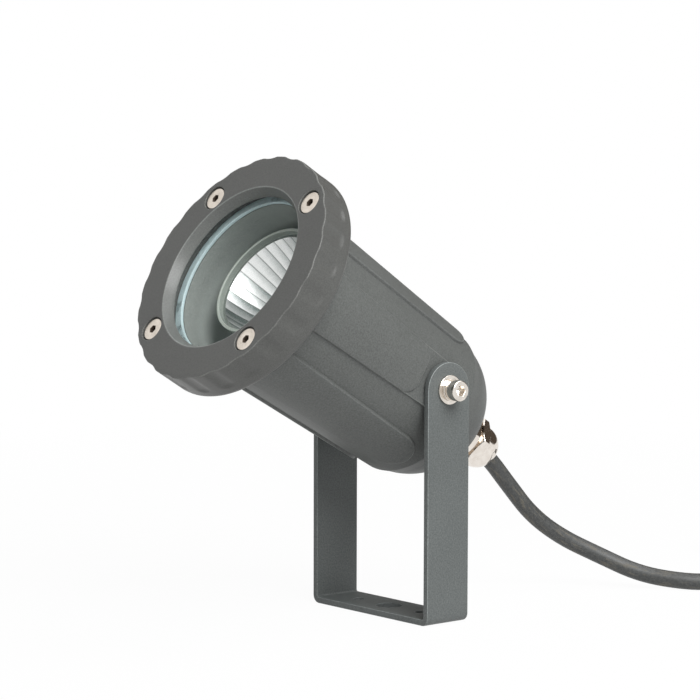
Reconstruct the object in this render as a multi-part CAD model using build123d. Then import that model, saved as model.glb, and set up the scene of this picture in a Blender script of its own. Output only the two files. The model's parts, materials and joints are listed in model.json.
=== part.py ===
from build123d import *
import math
import os

# Garden spotlight: a die-cast lamp head that tilts on two bolts in a U-shaped strip bracket.
# Millimetres and degrees. Z is up, X runs along the pivot, the head points to -Y and upwards,
# and the origin is the centre of the bracket's underside.

# Pose and bracket
head_tilt = 31.5
pivot_height = 96.4
strip_width = 22.3
strip_thickness = 2.6
bend_inner_radius = 0.8
base_hole_diameter = 11.0
fixing_hole_diameter = 4.5
fixing_hole_spacing = 39.0

# Pivot hardware
pivot_bolt_diameter = 5.0
pivot_bolt_clearance = 0.08
pivot_head_diameter = 8.5
pivot_head_height = 5.0
pivot_socket_width = 4.0
pivot_socket_depth = 2.6
plain_washer_diameter = 12.0
plain_washer_thickness = 1.0
spring_washer_diameter = 9.2
spring_washer_thickness = 1.3
spring_washer_gap = 1.0
friction_washer_diameter = 18.0
friction_washer_thickness = 0.5
washer_bore_clearance = 0.2
pivot_boss_diameter = 13.0
pivot_boss_reach = 8.0
thread_clearance = 0.05

# Bezel ring and front glass
pivot_to_front = 98.8
bezel_diameter = 100.8
bezel_depth = 16.6
bezel_wall = 3.0
bezel_lip_width = 2.3
bezel_lip_depth = 4.6
bezel_edge_chamfer = 0.4
bezel_rear_radius = 2.4
scallop_count = 24
scallop_depth = 0.65
scallop_radius = 14.0
scallop_length = 8.0
glass_seat_width = 3.6
glass_thickness = 4.0
glass_clearance = 0.3
gasket_thickness = 1.5
gasket_width = 3.4

# Bezel screws
screw_count = 4
screw_edge_distance = 4.2
screw_face_inset = 6.6
screw_diameter = 5.0
screw_head_diameter = 9.4
screw_head_rim = 0.5
screw_length = 14.0
screw_recess = 0.6
screw_socket_width = 3.0
screw_socket_depth = 1.8
screw_hole_clearance = 0.25
counterbore_clearance = 0.6

# Housing
flange_clearance = 0.4
flange_thickness = 5.2
body_front_wall = 3.0
body_draft = 3.8
body_length = 97.7
seat_flat_depth = 0.3
shoulder_length = 5.0
shoulder_step = 1.0
dome_set_back = 7.5
gland_seat_diameter = 25.4
panel_count = 6
panel_height = 1.2
panel_front_width = 26.8
panel_rear_width = 21.2
side_panel_end = 14.4
side_panel_corner_radius = 6.5
cavity_step = 0.1
cavity_draft = 4.2
gland_wall = 5.0

# Reflector lamp
lamp_recess = 19.3
lamp_lean = 5.0
lamp_diameter = 50.0
lamp_rim_height = 4.4
lamp_mouth_diameter = 44.8
lamp_length = 48.0
lamp_base_diameter = 24.0
lamp_base_height = 14.0
reflector_wall = 1.5
reflector_bulge = 0.62
cover_glass_diameter = 47.2
cover_glass_thickness = 2.6
burner_diameter = 10.0
burner_length = 22.0
lamp_pin_diameter = 3.0
lamp_pin_head_diameter = 5.0
lamp_pin_length = 7.5
lamp_pin_head_length = 2.5
lamp_pin_spacing = 10.0
seat_clearance = 0.1

# Lamp holder and the strap that carries it
holder_diameter = 28.0
holder_flat_width = 22.0
holder_height = 17.0
holder_pin_hole_clearance = 1.0
holder_pin_hole_depth = 9.0
holder_screw_spacing = 21.0
holder_counterbore_depth = 8.5
strap_width = 12.0
strap_end_gap = 1.8
strap_thickness = 1.5
strap_screw_inset = 3.0
ledge_reach = 3.5
ledge_width = 28.0
ledge_height = 10.0
small_screw_diameter = 3.0
small_screw_head_diameter = 5.6
small_screw_head_height = 2.0
small_screw_slot_width = 0.8
small_screw_slot_depth = 1.0
small_screw_reach = 6.0
small_hole_depth = 7.0

# Terminal block, earth point and inner wires
pole_count = 3
pole_pitch = 7.0
terminal_end_margin = 4.5
terminal_width = 15.0
terminal_height = 13.0
insert_diameter = 4.6
insert_bore = 3.0
terminal_screw_diameter = 2.5
terminal_screw_inset = 4.2
terminal_screw_recess = 1.0
terminal_fixing_diameter = 2.4
terminal_fixing_head_diameter = 4.4
terminal_fixing_head_height = 1.4
core_diameter = 2.4
core_entry_length = 2.0
core_straight = 8.0
core_fan_share = 0.8
core_swing = 8.4
core_turn_height = 8.0
core_lean = 1.5
sheath_cover = 0.6
lead_reach = 7.5
lead_entry_height = 5.5
earth_screw_inset = 2.7
tag_gap = 1.0
tag_diameter = 6.0
tag_thickness = 0.8
barrel_diameter = 3.4
barrel_length = 4.5
tag_neck = 1.0
tag_neck_overlap = 0.5
barrel_lead_in = 3.1

# Cable gland
gland_washer_diameter = 19.6
gland_washer_thickness = 0.8
gland_hex_width = 20.0
gland_hex_height = 5.5
gland_thread_diameter = 16.0
gland_thread_length = 10.0
gland_neck_diameter = 15.0
gland_neck_length = 7.7
gland_bore_diameter = 8.4
gland_seal_diameter = 12.2
gland_seal_length = 7.5
gland_joint_gap = 0.4
cap_gap = 1.6
cap_hex_height = 4.5
cap_dome_diameter = 18.8
cap_length = 14.4
cap_straight = 3.4
cap_mouth_diameter = 10.8
cap_end_diameter = 12.4
locknut_width = 21.0
locknut_height = 4.0
gland_fit_clearance = 0.1

# Rubber cable: one metre and a little, gripped in the gland, its spare length coiled and tied
cable_diameter = 7.3
sheath_inside_length = 3.0
cable_grip_depth = 1.2
cable_exit_run = 17.8
coil_outer_radius = 45.0
coil_turns = 3
coil_pitch = 7.9
layer_pitch = 7.9
tie_thickness = 0.8
tie_width = 3.0
tie_clearance = 0.2
tie_corner_radius = 4.0
tie_turn = 0.25
bare_core_length = 22.0
bare_core_straight = 8.8
bare_core_spread = 6.0
ferrule_diameter = 3.4
ferrule_length = 8.0
ferrule_clearance = 0.05
floor_clearance = 0.1
bend_share = 0.45

# Diameters that follow the bezel's, from the outside in
flange_diameter = bezel_diameter - 2 * (bezel_wall + flange_clearance)
screw_circle_diameter = flange_diameter - 2 * screw_edge_distance
bezel_opening_diameter = screw_circle_diameter - 2 * screw_face_inset
bezel_lip_diameter = bezel_opening_diameter - 2 * bezel_lip_width
glass_diameter = bezel_lip_diameter + 2 * glass_seat_width
gasket_inner_diameter = glass_diameter - 2 * gasket_width
cavity_front_diameter = gasket_inner_diameter - 2 * cavity_step
cavity_rear_diameter = cavity_front_diameter - 2 * cavity_draft
body_front_diameter = cavity_front_diameter + 2 * body_front_wall
body_rear_diameter = body_front_diameter - 2 * body_draft
dome_radius = body_rear_diameter / 2 - shoulder_step
gland_seat_set_back = math.sqrt(dome_radius ** 2 - (gland_seat_diameter / 2) ** 2)
strap_length = cavity_rear_diameter - 2 * strap_end_gap
strap_screw_spacing = strap_length - 2 * strap_screw_inset
ledge_gap = strap_screw_spacing - 2 * ledge_reach

# Stations along the head's axis, measured from the pivot, forwards positive
front_z = pivot_to_front
glass_front_z = front_z - bezel_lip_depth
glass_back_z = glass_front_z - glass_thickness
rim_z = glass_back_z - gasket_thickness
flange_back_z = rim_z - flange_thickness
bezel_rear_z = front_z - bezel_depth
shoulder_z = bezel_rear_z - body_length
dome_start_z = shoulder_z - shoulder_length
dome_centre_z = dome_start_z + dome_set_back
gland_seat_z = dome_centre_z - gland_seat_set_back
gland_wall_z = gland_seat_z + gland_wall
lamp_front_z = front_z - lamp_recess
lamp_base_top_z = lamp_front_z - lamp_length + lamp_base_height
lamp_base_bottom_z = lamp_front_z - lamp_length
holder_back_z = lamp_base_bottom_z - holder_height
strap_back_z = holder_back_z - strap_thickness
terminal_back_z = strap_back_z - terminal_height
terminal_mid_z = strap_back_z - terminal_height / 2
gland_hex_z = gland_seat_z - gland_washer_thickness
gland_neck_z = gland_hex_z - gland_hex_height
cap_z = gland_neck_z - cap_gap
cap_end_z = cap_z - cap_length
sheath_end_z = gland_hex_z + gland_thread_length + sheath_inside_length
cable_grip_z = gland_hex_z - cable_grip_depth

# Radius of the housing's plain cone between the bezel and the shoulder
def cone_radius(z):
    return body_front_diameter / 2 - body_draft * (bezel_rear_z - z) / body_length


# Seats on the housing's sides, and the faces of the bracket's legs that meet them
seat_x = cone_radius(0) - seat_flat_depth
leg_inner_x = seat_x + friction_washer_thickness
leg_outer_x = leg_inner_x + strip_thickness
bracket_width = 2 * leg_outer_x
panel_rear_radius = panel_rear_width / 2

# Earth screw on its ledge, beside the strap
earth_x = strap_width / 2 + tag_gap + tag_diameter / 2
earth_y = ledge_gap / 2 + earth_screw_inset

head_place = Location((0, 0, pivot_height), (90 - head_tilt, 0, 0))
cable_radius = cable_diameter / 2
parts = {}


def turned(*points):
    """Solid of revolution about the Z axis from a closed outline of (radius, z) corners."""
    outline = Polyline([(r, 0, z) for r, z in points], close=True)
    return revolve(make_face(outline), Axis.Z)


def rod(radius, z_low, z_high, x=0.0, y=0.0):
    """Round bar along Z between two heights."""
    return Pos(x, y, (z_low + z_high) / 2) * Cylinder(radius, z_high - z_low)


def ring(outer_radius, inner_radius, z_low, z_high):
    """Flat ring on the Z axis between two heights."""
    return rod(outer_radius, z_low, z_high) - rod(inner_radius, z_low, z_high)


def hex_bar(width, z_low, z_high):
    """Hexagonal bar on the Z axis, with its width measured across the flats."""
    hexagon = RegularPolygon(width / math.sqrt(3), 6)
    return Pos(0, 0, z_low) * extrude(hexagon, z_high - z_low)


def block(x_low, x_high, y_low, y_high, z_low, z_high):
    """Rectangular block between two corners."""
    middle = ((x_low + x_high) / 2, (y_low + y_high) / 2, (z_low + z_high) / 2)
    return Pos(*middle) * Box(x_high - x_low, y_high - y_low, z_high - z_low)


def along_x(solid):
    """The same solid with its Z axis laid along X."""
    return Rot(0, 90, 0) * solid


def mirrored_pair(solid):
    """The solid and its mirror image across the YZ plane."""
    return [solid, mirror(solid, about=Plane.YZ)]


def spread(solid, count, start=0.0):
    """Copies of a solid spaced evenly round the Z axis."""
    return [Rot(0, 0, start + 360 / count * k) * solid for k in range(count)]


def tube(path, radius):
    """Round tube along a smooth path of lines and arcs."""
    section = Plane(path @ 0, z_dir=path % 0) * Circle(radius)
    solid = sweep(section, path=path)
    share = solid.volume / (math.pi * radius ** 2 * path.length)
    print(f"tube of {path.length:.1f} mm, volume over section times length {share:.4f}")
    return solid


def bend_radii(points):
    """The largest arc radius that each corner of a route allows."""
    radii = []
    for before, corner, after in zip(points, points[1:], points[2:]):
        run_in = Vector(*corner) - Vector(*before)
        run_out = Vector(*after) - Vector(*corner)
        turn = math.radians(run_in.get_angle(run_out))
        radii.append(bend_share * min(run_in.length, run_out.length) / math.tan(turn / 2))
    return radii


def routed_tube(name, points, radius):
    """Tube along straight runs joined by arcs as large as the runs allow."""
    radii = bend_radii(points)
    print(name, "bend radii", [round(r, 1) for r in radii])
    return tube(FilletPolyline(*points, radius=radii), radius)


def add(name, solids, in_head=True):
    """Store a piece, or a group of equal pieces, under its name, placed in the object's frame."""
    group = solids if isinstance(solids, list) else [solids]
    place = head_place if in_head else Location()
    parts[name] = [place * solid for solid in group]


# U-bracket: bent strip with round leg tops, a wide hole and two screw holes in its base
def make_bracket():
    outer = FilletPolyline(
        (-leg_outer_x, 0, pivot_height + strip_width),
        (-leg_outer_x, 0, 0),
        (leg_outer_x, 0, 0),
        (leg_outer_x, 0, pivot_height + strip_width),
        radius=bend_inner_radius + strip_thickness,
    )
    inner = FilletPolyline(
        (leg_inner_x, 0, pivot_height + strip_width),
        (leg_inner_x, 0, strip_thickness),
        (-leg_inner_x, 0, strip_thickness),
        (-leg_inner_x, 0, pivot_height + strip_width),
        radius=bend_inner_radius,
    )
    ends = [Line(outer @ 1, inner @ 0), Line(inner @ 1, outer @ 0)]
    bent = extrude(make_face([*outer.edges(), *inner.edges(), *ends]), strip_width / 2, both=True)
    side = block(-bracket_width, bracket_width, -strip_width / 2, strip_width / 2, 0, pivot_height)
    top = Pos(0, 0, pivot_height) * along_x(Cylinder(strip_width / 2, 2 * bracket_width))
    bracket = bent & (side + top)
    bolt_hole_radius = pivot_bolt_diameter / 2 + pivot_bolt_clearance
    bracket -= Pos(0, 0, pivot_height) * along_x(Cylinder(bolt_hole_radius, 2 * bracket_width))
    bracket -= rod(base_hole_diameter / 2, -strip_thickness, 2 * strip_thickness)
    for side_sign in (-1, 1):
        hole_x = side_sign * fixing_hole_spacing / 2
        bracket -= rod(fixing_hole_diameter / 2, -strip_thickness, 2 * strip_thickness, hole_x)
    return bracket


# Pivot bolts with their washers, and the friction washers inside the legs
def make_pivot_hardware():
    bolt_radius = pivot_bolt_diameter / 2
    bore = bolt_radius + washer_bore_clearance
    plain_end = leg_outer_x + plain_washer_thickness
    spring_end = plain_end + spring_washer_thickness
    head_end = spring_end + pivot_head_height
    shank_start = seat_x - pivot_boss_reach
    bolt = rod(bolt_radius, shank_start, spring_end) + rod(pivot_head_diameter / 2, spring_end, head_end)
    bolt -= hex_bar(pivot_socket_width, head_end - pivot_socket_depth, head_end)
    plain = ring(plain_washer_diameter / 2, bore, leg_outer_x, plain_end)
    spring = ring(spring_washer_diameter / 2, bore, plain_end, spring_end)
    half_gap = spring_washer_gap / 2
    spring -= block(0, spring_washer_diameter, -half_gap, half_gap, plain_end, spring_end)
    friction = ring(friction_washer_diameter / 2, bore, seat_x, leg_inner_x)
    add("pivot_bolts", mirrored_pair(along_x(bolt)))
    add("plain_washers", mirrored_pair(along_x(plain)))
    add("spring_washers", mirrored_pair(along_x(spring)))
    add("friction_washers", mirrored_pair(along_x(friction)))


# Bezel ring: scalloped front edge, lip over the glass, skirt over the housing's flange
def make_bezel():
    outer_radius = bezel_diameter / 2
    skirt_radius = flange_diameter / 2 + flange_clearance
    pocket_radius = glass_diameter / 2 + glass_clearance
    bezel = turned(
        (bezel_opening_diameter / 2, front_z),
        (outer_radius, front_z),
        (outer_radius, bezel_rear_z),
        (skirt_radius, bezel_rear_z),
        (skirt_radius, rim_z),
        (pocket_radius, rim_z),
        (pocket_radius, glass_front_z),
        (bezel_lip_diameter / 2, glass_front_z),
    )
    groove_x = outer_radius - scallop_depth + scallop_radius
    groove_end = front_z - scallop_length
    groove = rod(scallop_radius, groove_end, front_z + scallop_radius, groove_x)
    groove += Pos(groove_x, 0, groove_end) * Sphere(scallop_radius)
    bezel -= spread(groove, scallop_count, 180 / scallop_count)
    rear_edge = bezel.edges().filter_by(GeomType.CIRCLE).filter_by(
        lambda e: abs(e.radius - outer_radius) < 0.01 and abs(e.center().Z - bezel_rear_z) < 0.01
    )
    bezel = fillet(rear_edge, bezel_rear_radius)
    front_edges = bezel.edges().filter_by(
        lambda e: abs(e.bounding_box().min.Z - front_z) < 0.01
        and math.hypot((e @ 0.5).X, (e @ 0.5).Y) > screw_circle_diameter / 2
    )
    bezel = chamfer(front_edges, bezel_edge_chamfer)
    sink = screw_sink(screw_hole_clearance)
    bezel -= spread(Pos(screw_circle_diameter / 2, 0, front_z) * sink, screw_count, 180 / screw_count)
    return bezel


# Space that a bezel screw needs, with its head's recess, measured down from the front face
def screw_sink(clearance):
    bore_radius = screw_diameter / 2 + clearance
    wide_radius = screw_head_diameter / 2 + counterbore_clearance
    cone_top = -screw_recess - screw_head_rim
    cone_radius = screw_head_diameter / 2 + seat_clearance
    cone_bottom = cone_top - (cone_radius - bore_radius)
    return turned(
        (0, 1),
        (wide_radius, 1),
        (wide_radius, cone_top),
        (cone_radius, cone_top),
        (bore_radius, cone_bottom),
        (bore_radius, -bezel_depth),
        (0, -bezel_depth),
    )


def make_bezel_screw():
    shank_radius = screw_diameter / 2
    head_radius = screw_head_diameter / 2
    cone_top = -screw_recess - screw_head_rim
    cone_bottom = cone_top - (head_radius - shank_radius)
    tip = -screw_recess - screw_length
    screw = turned(
        (0, -screw_recess),
        (head_radius, -screw_recess),
        (head_radius, cone_top),
        (shank_radius, cone_bottom),
        (shank_radius, tip),
        (0, tip),
    )
    screw -= hex_bar(screw_socket_width, -screw_recess - screw_socket_depth, 0)
    return Pos(screw_circle_diameter / 2, 0, front_z) * screw


def arc_profile(points, arc_start, arc_end, centre_z):
    """Outline of (radius, z) corners, with an arc about the axis between two of them."""
    radius = math.hypot(arc_start[0], arc_start[1] - centre_z)
    first = math.atan2(arc_start[1] - centre_z, arc_start[0])
    last = math.atan2(arc_end[1] - centre_z, arc_end[0])
    middle_angle = (first + last) / 2
    middle = (radius * math.cos(middle_angle), 0, centre_z + radius * math.sin(middle_angle))
    corners = [(r, 0, z) for r, z in (arc_end, *points, arc_start)]
    arc = ThreePointArc(corners[-1], middle, corners[0])
    return revolve(make_face([arc, *Polyline(corners).edges()]), Axis.Z)


# Outline of one raised panel as seen from +X, a taper with a round end about the pivot
def panel_outline(end_z):
    half_front = panel_front_width / 2
    slope = (half_front - panel_rear_radius) / bezel_rear_z
    half_start = half_front + slope * (flange_back_z - bezel_rear_z)
    half_end = panel_rear_radius + slope * end_z
    corners = [
        (0, half_start, flange_back_z),
        (0, half_end, end_z),
        (0, -half_end, end_z),
        (0, -half_start, flange_back_z),
    ]
    return make_face(Polyline(corners, close=True))


def make_panel(end_z):
    reach = body_front_diameter
    sheet = extrude(panel_outline(end_z), reach, dir=(1, 0, 0))
    skin = turned(
        (0, flange_back_z),
        (cone_radius(flange_back_z) + panel_height, flange_back_z),
        (cone_radius(-panel_rear_width) + panel_height, -panel_rear_width),
        (0, -panel_rear_width),
    )
    return sheet, skin


def make_housing():
    dome_start_radius = math.sqrt(dome_radius ** 2 - dome_set_back ** 2)
    flange_radius = flange_diameter / 2
    body = arc_profile(
        [
            (0, gland_seat_z),
            (0, rim_z),
            (flange_radius, rim_z),
            (flange_radius, flange_back_z),
            (cone_radius(flange_back_z), flange_back_z),
            (cone_radius(shoulder_z), shoulder_z),
        ],
        (dome_start_radius, dome_start_z),
        (gland_seat_diameter / 2, gland_seat_z),
        dome_centre_z,
    )
    # Flats and bosses that meet the bracket's legs
    flat_top = side_panel_end + side_panel_corner_radius
    flat = block(seat_x, bezel_diameter, -strip_width, strip_width, gland_seat_z, flat_top)
    body -= mirrored_pair(flat)
    boss_bar = along_x(rod(panel_rear_radius, 0, seat_x))
    boss_sheet, skin = make_panel(0)
    boss = boss_sheet & block(0, seat_x, -strip_width, strip_width, 0, flat_top)
    round_end = along_x(rod(panel_rear_radius, 0, body_front_diameter))
    long_panel = (boss_sheet + round_end) & skin
    side_sheet, skin = make_panel(side_panel_end)
    corner_edges = side_sheet.edges().filter_by(Axis.X).sort_by(Axis.Z)[:2]
    side_panel = fillet(corner_edges, side_panel_corner_radius) & skin
    raised = [boss_bar, boss, side_panel]
    for angle in (0, 180):
        body += [Rot(0, 0, angle) * piece for piece in raised]
    for k in range(panel_count):
        if k % (panel_count // 2) != 0:
            body += Rot(0, 0, 360 / panel_count * k) * long_panel
    # Hollow, with ledges for the lamp strap and bosses for the pivot bolts
    inner_dome = cavity_rear_diameter / 2
    inner_end_radius = math.sqrt(inner_dome ** 2 - (gland_wall_z - dome_centre_z) ** 2)
    cavity = arc_profile(
        [
            (0, gland_wall_z),
            (0, rim_z),
            (cavity_front_diameter / 2, rim_z),
        ],
        (inner_dome, dome_centre_z),
        (inner_end_radius, gland_wall_z),
        dome_centre_z,
    )
    ledge = block(
        -ledge_width / 2, ledge_width / 2, ledge_gap / 2, cavity_front_diameter / 2,
        strap_back_z - ledge_height, strap_back_z,
    )
    pivot_boss = along_x(rod(pivot_boss_diameter / 2, seat_x - pivot_boss_reach, seat_x))
    keep = [ledge, mirror(ledge, about=Plane.XZ), *mirrored_pair(pivot_boss)]
    for solid in keep:
        cavity -= solid
    body -= cavity
    # Threaded holes
    bolt_radius = pivot_bolt_diameter / 2 + thread_clearance
    body -= along_x(Cylinder(bolt_radius, bezel_diameter))
    screw_radius = screw_diameter / 2 + thread_clearance
    screw_hole = rod(screw_radius, flange_back_z, rim_z, screw_circle_diameter / 2)
    body -= spread(screw_hole, screw_count, 180 / screw_count)
    body -= rod(gland_thread_diameter / 2 + gland_fit_clearance, gland_seat_z, gland_wall_z)
    small_radius = small_screw_diameter / 2 + thread_clearance
    hole_low = strap_back_z - small_hole_depth
    for y in (-strap_screw_spacing / 2, strap_screw_spacing / 2):
        body -= rod(small_radius, hole_low, strap_back_z, 0, y)
    body -= rod(small_radius, hole_low, strap_back_z, earth_x, earth_y)
    return body


# The lamp leans upwards by its pins' play, with one edge of its base standing on the holder
def leaned(shape):
    lift = lamp_base_diameter / 2 * math.sin(math.radians(lamp_lean)) + seat_clearance
    upright = Pos(0, 0, -lamp_base_bottom_z) * shape
    return Pos(0, 0, lamp_base_bottom_z + lift) * Rot(-lamp_lean, 0, 0) * upright


# Reflector lamp with its cover glass, burner, base and two pins
def make_lamp():
    rim_radius = lamp_diameter / 2
    mouth_radius = lamp_mouth_diameter / 2
    neck_radius = lamp_base_diameter / 2 - reflector_wall / 2
    cover_radius = cover_glass_diameter / 2
    rim_back = lamp_front_z - lamp_rim_height
    ledge_z = lamp_front_z - cover_glass_thickness
    middle_z = (rim_back + lamp_base_top_z) / 2
    outer_start = rim_radius - seat_clearance
    outer_middle = neck_radius + reflector_bulge * (outer_start - neck_radius)
    outer = ThreePointArc(
        (outer_start, 0, rim_back),
        (outer_middle, 0, middle_z),
        (neck_radius, 0, lamp_base_top_z),
    )
    inner = ThreePointArc(
        (neck_radius - reflector_wall, 0, lamp_base_top_z),
        (outer_middle - reflector_wall, 0, middle_z),
        (mouth_radius, 0, ledge_z),
    )
    rim = Polyline(
        inner @ 1,
        (cover_radius + seat_clearance, 0, ledge_z),
        (cover_radius + seat_clearance, 0, lamp_front_z),
        (rim_radius, 0, lamp_front_z),
        (rim_radius, 0, rim_back),
        outer @ 0,
    )
    floor_line = Line(outer @ 1, inner @ 0)
    reflector = revolve(make_face([outer, floor_line, inner, *rim.edges()]), Axis.Z)
    add("lamp_reflector", leaned(reflector))
    add("lamp_cover_glass", leaned(rod(cover_radius, ledge_z, lamp_front_z)))
    burner_radius = burner_diameter / 2
    burner_top = lamp_base_top_z + burner_length - burner_radius
    burner = rod(burner_radius, lamp_base_top_z, burner_top)
    burner += Pos(0, 0, burner_top) * Sphere(burner_radius)
    add("lamp_burner", leaned(burner))
    base = rod(lamp_base_diameter / 2, lamp_base_bottom_z, lamp_base_top_z)
    add("lamp_base", leaned(base))
    pin_end = lamp_base_bottom_z - lamp_pin_length
    head_start = pin_end + lamp_pin_head_length
    pins = []
    for x in (-lamp_pin_spacing / 2, lamp_pin_spacing / 2):
        pin = rod(lamp_pin_diameter / 2, head_start, lamp_base_bottom_z, x)
        pins.append(leaned(pin + rod(lamp_pin_head_diameter / 2, pin_end, head_start, x)))
    add("lamp_pins", pins)


def small_screw(top_z, x, y, reach):
    """Cheese-head screw whose head stands on a face at top_z."""
    shank = rod(small_screw_diameter / 2, top_z - reach, top_z, x, y)
    head = rod(small_screw_head_diameter / 2, top_z, top_z + small_screw_head_height, x, y)
    head_top = top_z + small_screw_head_height
    slot_half = small_screw_slot_width / 2
    slot = block(
        x - small_screw_head_diameter, x + small_screw_head_diameter, y - slot_half, y + slot_half,
        head_top - small_screw_slot_depth, head_top,
    )
    return shank + head - slot


# Ceramic lamp holder on a strap across two cast ledges
def make_holder():
    holder = rod(holder_diameter / 2, holder_back_z, lamp_base_bottom_z)
    holder &= block(
        -holder_flat_width / 2, holder_flat_width / 2, -holder_diameter, holder_diameter,
        holder_back_z, lamp_base_bottom_z,
    )
    pin_hole = lamp_pin_head_diameter / 2 + holder_pin_hole_clearance
    for x in (-lamp_pin_spacing / 2, lamp_pin_spacing / 2):
        holder -= rod(pin_hole, lamp_base_bottom_z - holder_pin_hole_depth, lamp_base_bottom_z, x)
    head_room = lamp_base_bottom_z - holder_counterbore_depth
    screw_bore = small_screw_diameter / 2 + seat_clearance
    head_bore = small_screw_head_diameter / 2 + seat_clearance
    strap = block(
        -strap_width / 2, strap_width / 2, -strap_length / 2, strap_length / 2, strap_back_z, holder_back_z,
    )
    holder_screws = []
    for y in (-holder_screw_spacing / 2, holder_screw_spacing / 2):
        holder -= rod(screw_bore, holder_back_z, head_room, 0, y)
        holder -= rod(head_bore, head_room, lamp_base_bottom_z, 0, y)
        strap -= rod(screw_bore, strap_back_z, holder_back_z, 0, y)
        holder_screws.append(small_screw(head_room, 0, y, head_room - strap_back_z))
    strap_screws = []
    strap_reach = small_screw_reach + strap_thickness
    for y in (-strap_screw_spacing / 2, strap_screw_spacing / 2):
        strap -= rod(screw_bore, strap_back_z, holder_back_z, 0, y)
        strap_screws.append(small_screw(holder_back_z, 0, y, strap_reach))
    for y in terminal_fixing_places():
        strap -= rod(terminal_fixing_diameter / 2 + thread_clearance, strap_back_z, holder_back_z, 0, y)
    add("lamp_holder", holder)
    add("holder_screws", holder_screws)
    add("holder_strap", strap)
    add("strap_screws", strap_screws)


def pole_places():
    return [(k - (pole_count - 1) / 2) * pole_pitch for k in range(pole_count)]


def terminal_fixing_places():
    places = pole_places()
    return [(a + b) / 2 for a, b in zip(places, places[1:])]


# Terminal block behind the strap, with brass inserts and screws
def make_terminals():
    half_length = pole_places()[-1] + terminal_end_margin
    half_width = terminal_width / 2
    housing = block(-half_width, half_width, -half_length, half_length, terminal_back_z, strap_back_z)
    inserts = []
    screws = []
    for y in pole_places():
        middle = Pos(0, y, terminal_mid_z)
        housing -= middle * along_x(Cylinder(insert_diameter / 2 + seat_clearance, terminal_width))
        insert = middle * along_x(Cylinder(insert_diameter / 2, terminal_width))
        insert -= middle * along_x(Cylinder(insert_bore / 2, terminal_width))
        for x in (-terminal_screw_inset, terminal_screw_inset):
            well = rod(terminal_screw_diameter / 2 + seat_clearance, terminal_back_z, terminal_mid_z, x, y)
            housing -= well
            insert -= well
            screw_top = terminal_mid_z - core_diameter / 2 - seat_clearance
            screw_low = terminal_back_z + terminal_screw_recess
            screws.append(rod(terminal_screw_diameter / 2, screw_low, screw_top, x, y))
        inserts.append(insert)
    fixings = []
    head_radius = terminal_fixing_head_diameter / 2
    for y in terminal_fixing_places():
        housing -= rod(terminal_fixing_diameter / 2 + seat_clearance, terminal_back_z, strap_back_z, 0, y)
        shank = rod(terminal_fixing_diameter / 2, terminal_back_z, holder_back_z, 0, y)
        head = rod(head_radius, terminal_back_z - terminal_fixing_head_height, terminal_back_z, 0, y)
        fixings.append(shank + head)
    add("terminal_block", housing)
    add("terminal_inserts", inserts)
    add("terminal_screws", screws)
    add("terminal_fixings", fixings)


# Earth tag under its screw on a ledge
def make_earth_point():
    tag_top = strap_back_z + tag_thickness
    tag = rod(tag_diameter / 2, strap_back_z, tag_top, earth_x, earth_y)
    tag -= rod(small_screw_diameter / 2 + seat_clearance, strap_back_z, tag_top, earth_x, earth_y)
    ring_edge = earth_y - tag_diameter / 2
    barrel_y = ring_edge - tag_neck - barrel_length / 2
    barrel_z = tag_top - barrel_diameter / 2
    barrel = Rot(90, 0, 0) * Cylinder(barrel_diameter / 2, barrel_length)
    bore = Rot(90, 0, 0) * Cylinder(core_diameter / 2 + seat_clearance, barrel_length)
    neck_half = core_diameter / 2
    neck_end = ring_edge + tag_neck_overlap
    tag += block(earth_x - neck_half, earth_x + neck_half, barrel_y, neck_end, strap_back_z, tag_top)
    tag += Pos(earth_x, barrel_y, barrel_z) * barrel
    tag -= Pos(earth_x, barrel_y, barrel_z) * bore
    add("earth_tag", tag)
    add("earth_screw", small_screw(tag_top, earth_x, earth_y, small_screw_reach + tag_thickness))
    return (earth_x, barrel_y, barrel_z)


def lay_place(angle):
    """Offset of one of the three cores from the middle of the cable."""
    lay_radius = cable_radius - core_diameter / 2 - sheath_cover
    return lay_radius * math.cos(math.radians(angle)), lay_radius * math.sin(math.radians(angle))


# The cable's three cores, the two lamp leads and the earth lead
def make_inner_wires(tag_point):
    core_radius = core_diameter / 2
    half_width = terminal_width / 2
    names = ["live_core", "neutral_core", "earth_core"]
    swing_x = -half_width - core_swing
    straight_z = sheath_end_z + core_straight
    turn_z = terminal_mid_z - core_turn_height
    for name, y, angle in zip(names, pole_places(), (300, 180, 60)):
        start_x, start_y = lay_place(angle)
        route = [
            (start_x, start_y, sheath_end_z),
            (start_x, start_y, straight_z),
            (swing_x * core_fan_share, y * core_fan_share, (straight_z + turn_z) / 2),
            (swing_x, y, turn_z),
            (swing_x + core_lean, y, terminal_mid_z),
            (-half_width + core_entry_length, y, terminal_mid_z),
        ]
        add(name, routed_tube(name, route, core_radius))
    lead_x = half_width + lead_reach
    lead_top_z = holder_back_z + lead_entry_height
    leads = []
    for y in pole_places()[:2]:
        route = [
            (half_width - core_entry_length, y, terminal_mid_z),
            (lead_x, y, terminal_mid_z),
            (lead_x, y, lead_top_z),
            (holder_flat_width / 2, y, lead_top_z),
        ]
        leads.append(routed_tube("lamp lead", route, core_radius))
    add("lamp_leads", leads)
    tag_x, tag_y, tag_z = tag_point
    pole_y = pole_places()[2]
    entry_y = tag_y - barrel_length / 2 - barrel_lead_in
    route = [
        (half_width - core_entry_length, pole_y, terminal_mid_z),
        (lead_x, pole_y, terminal_mid_z),
        (lead_x, (pole_y + entry_y) / 2, (terminal_mid_z + tag_z) / 2),
        (tag_x, entry_y, tag_z),
        (tag_x, tag_y, tag_z),
    ]
    add("earth_lead", routed_tube("earth lead", route, core_radius))


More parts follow.
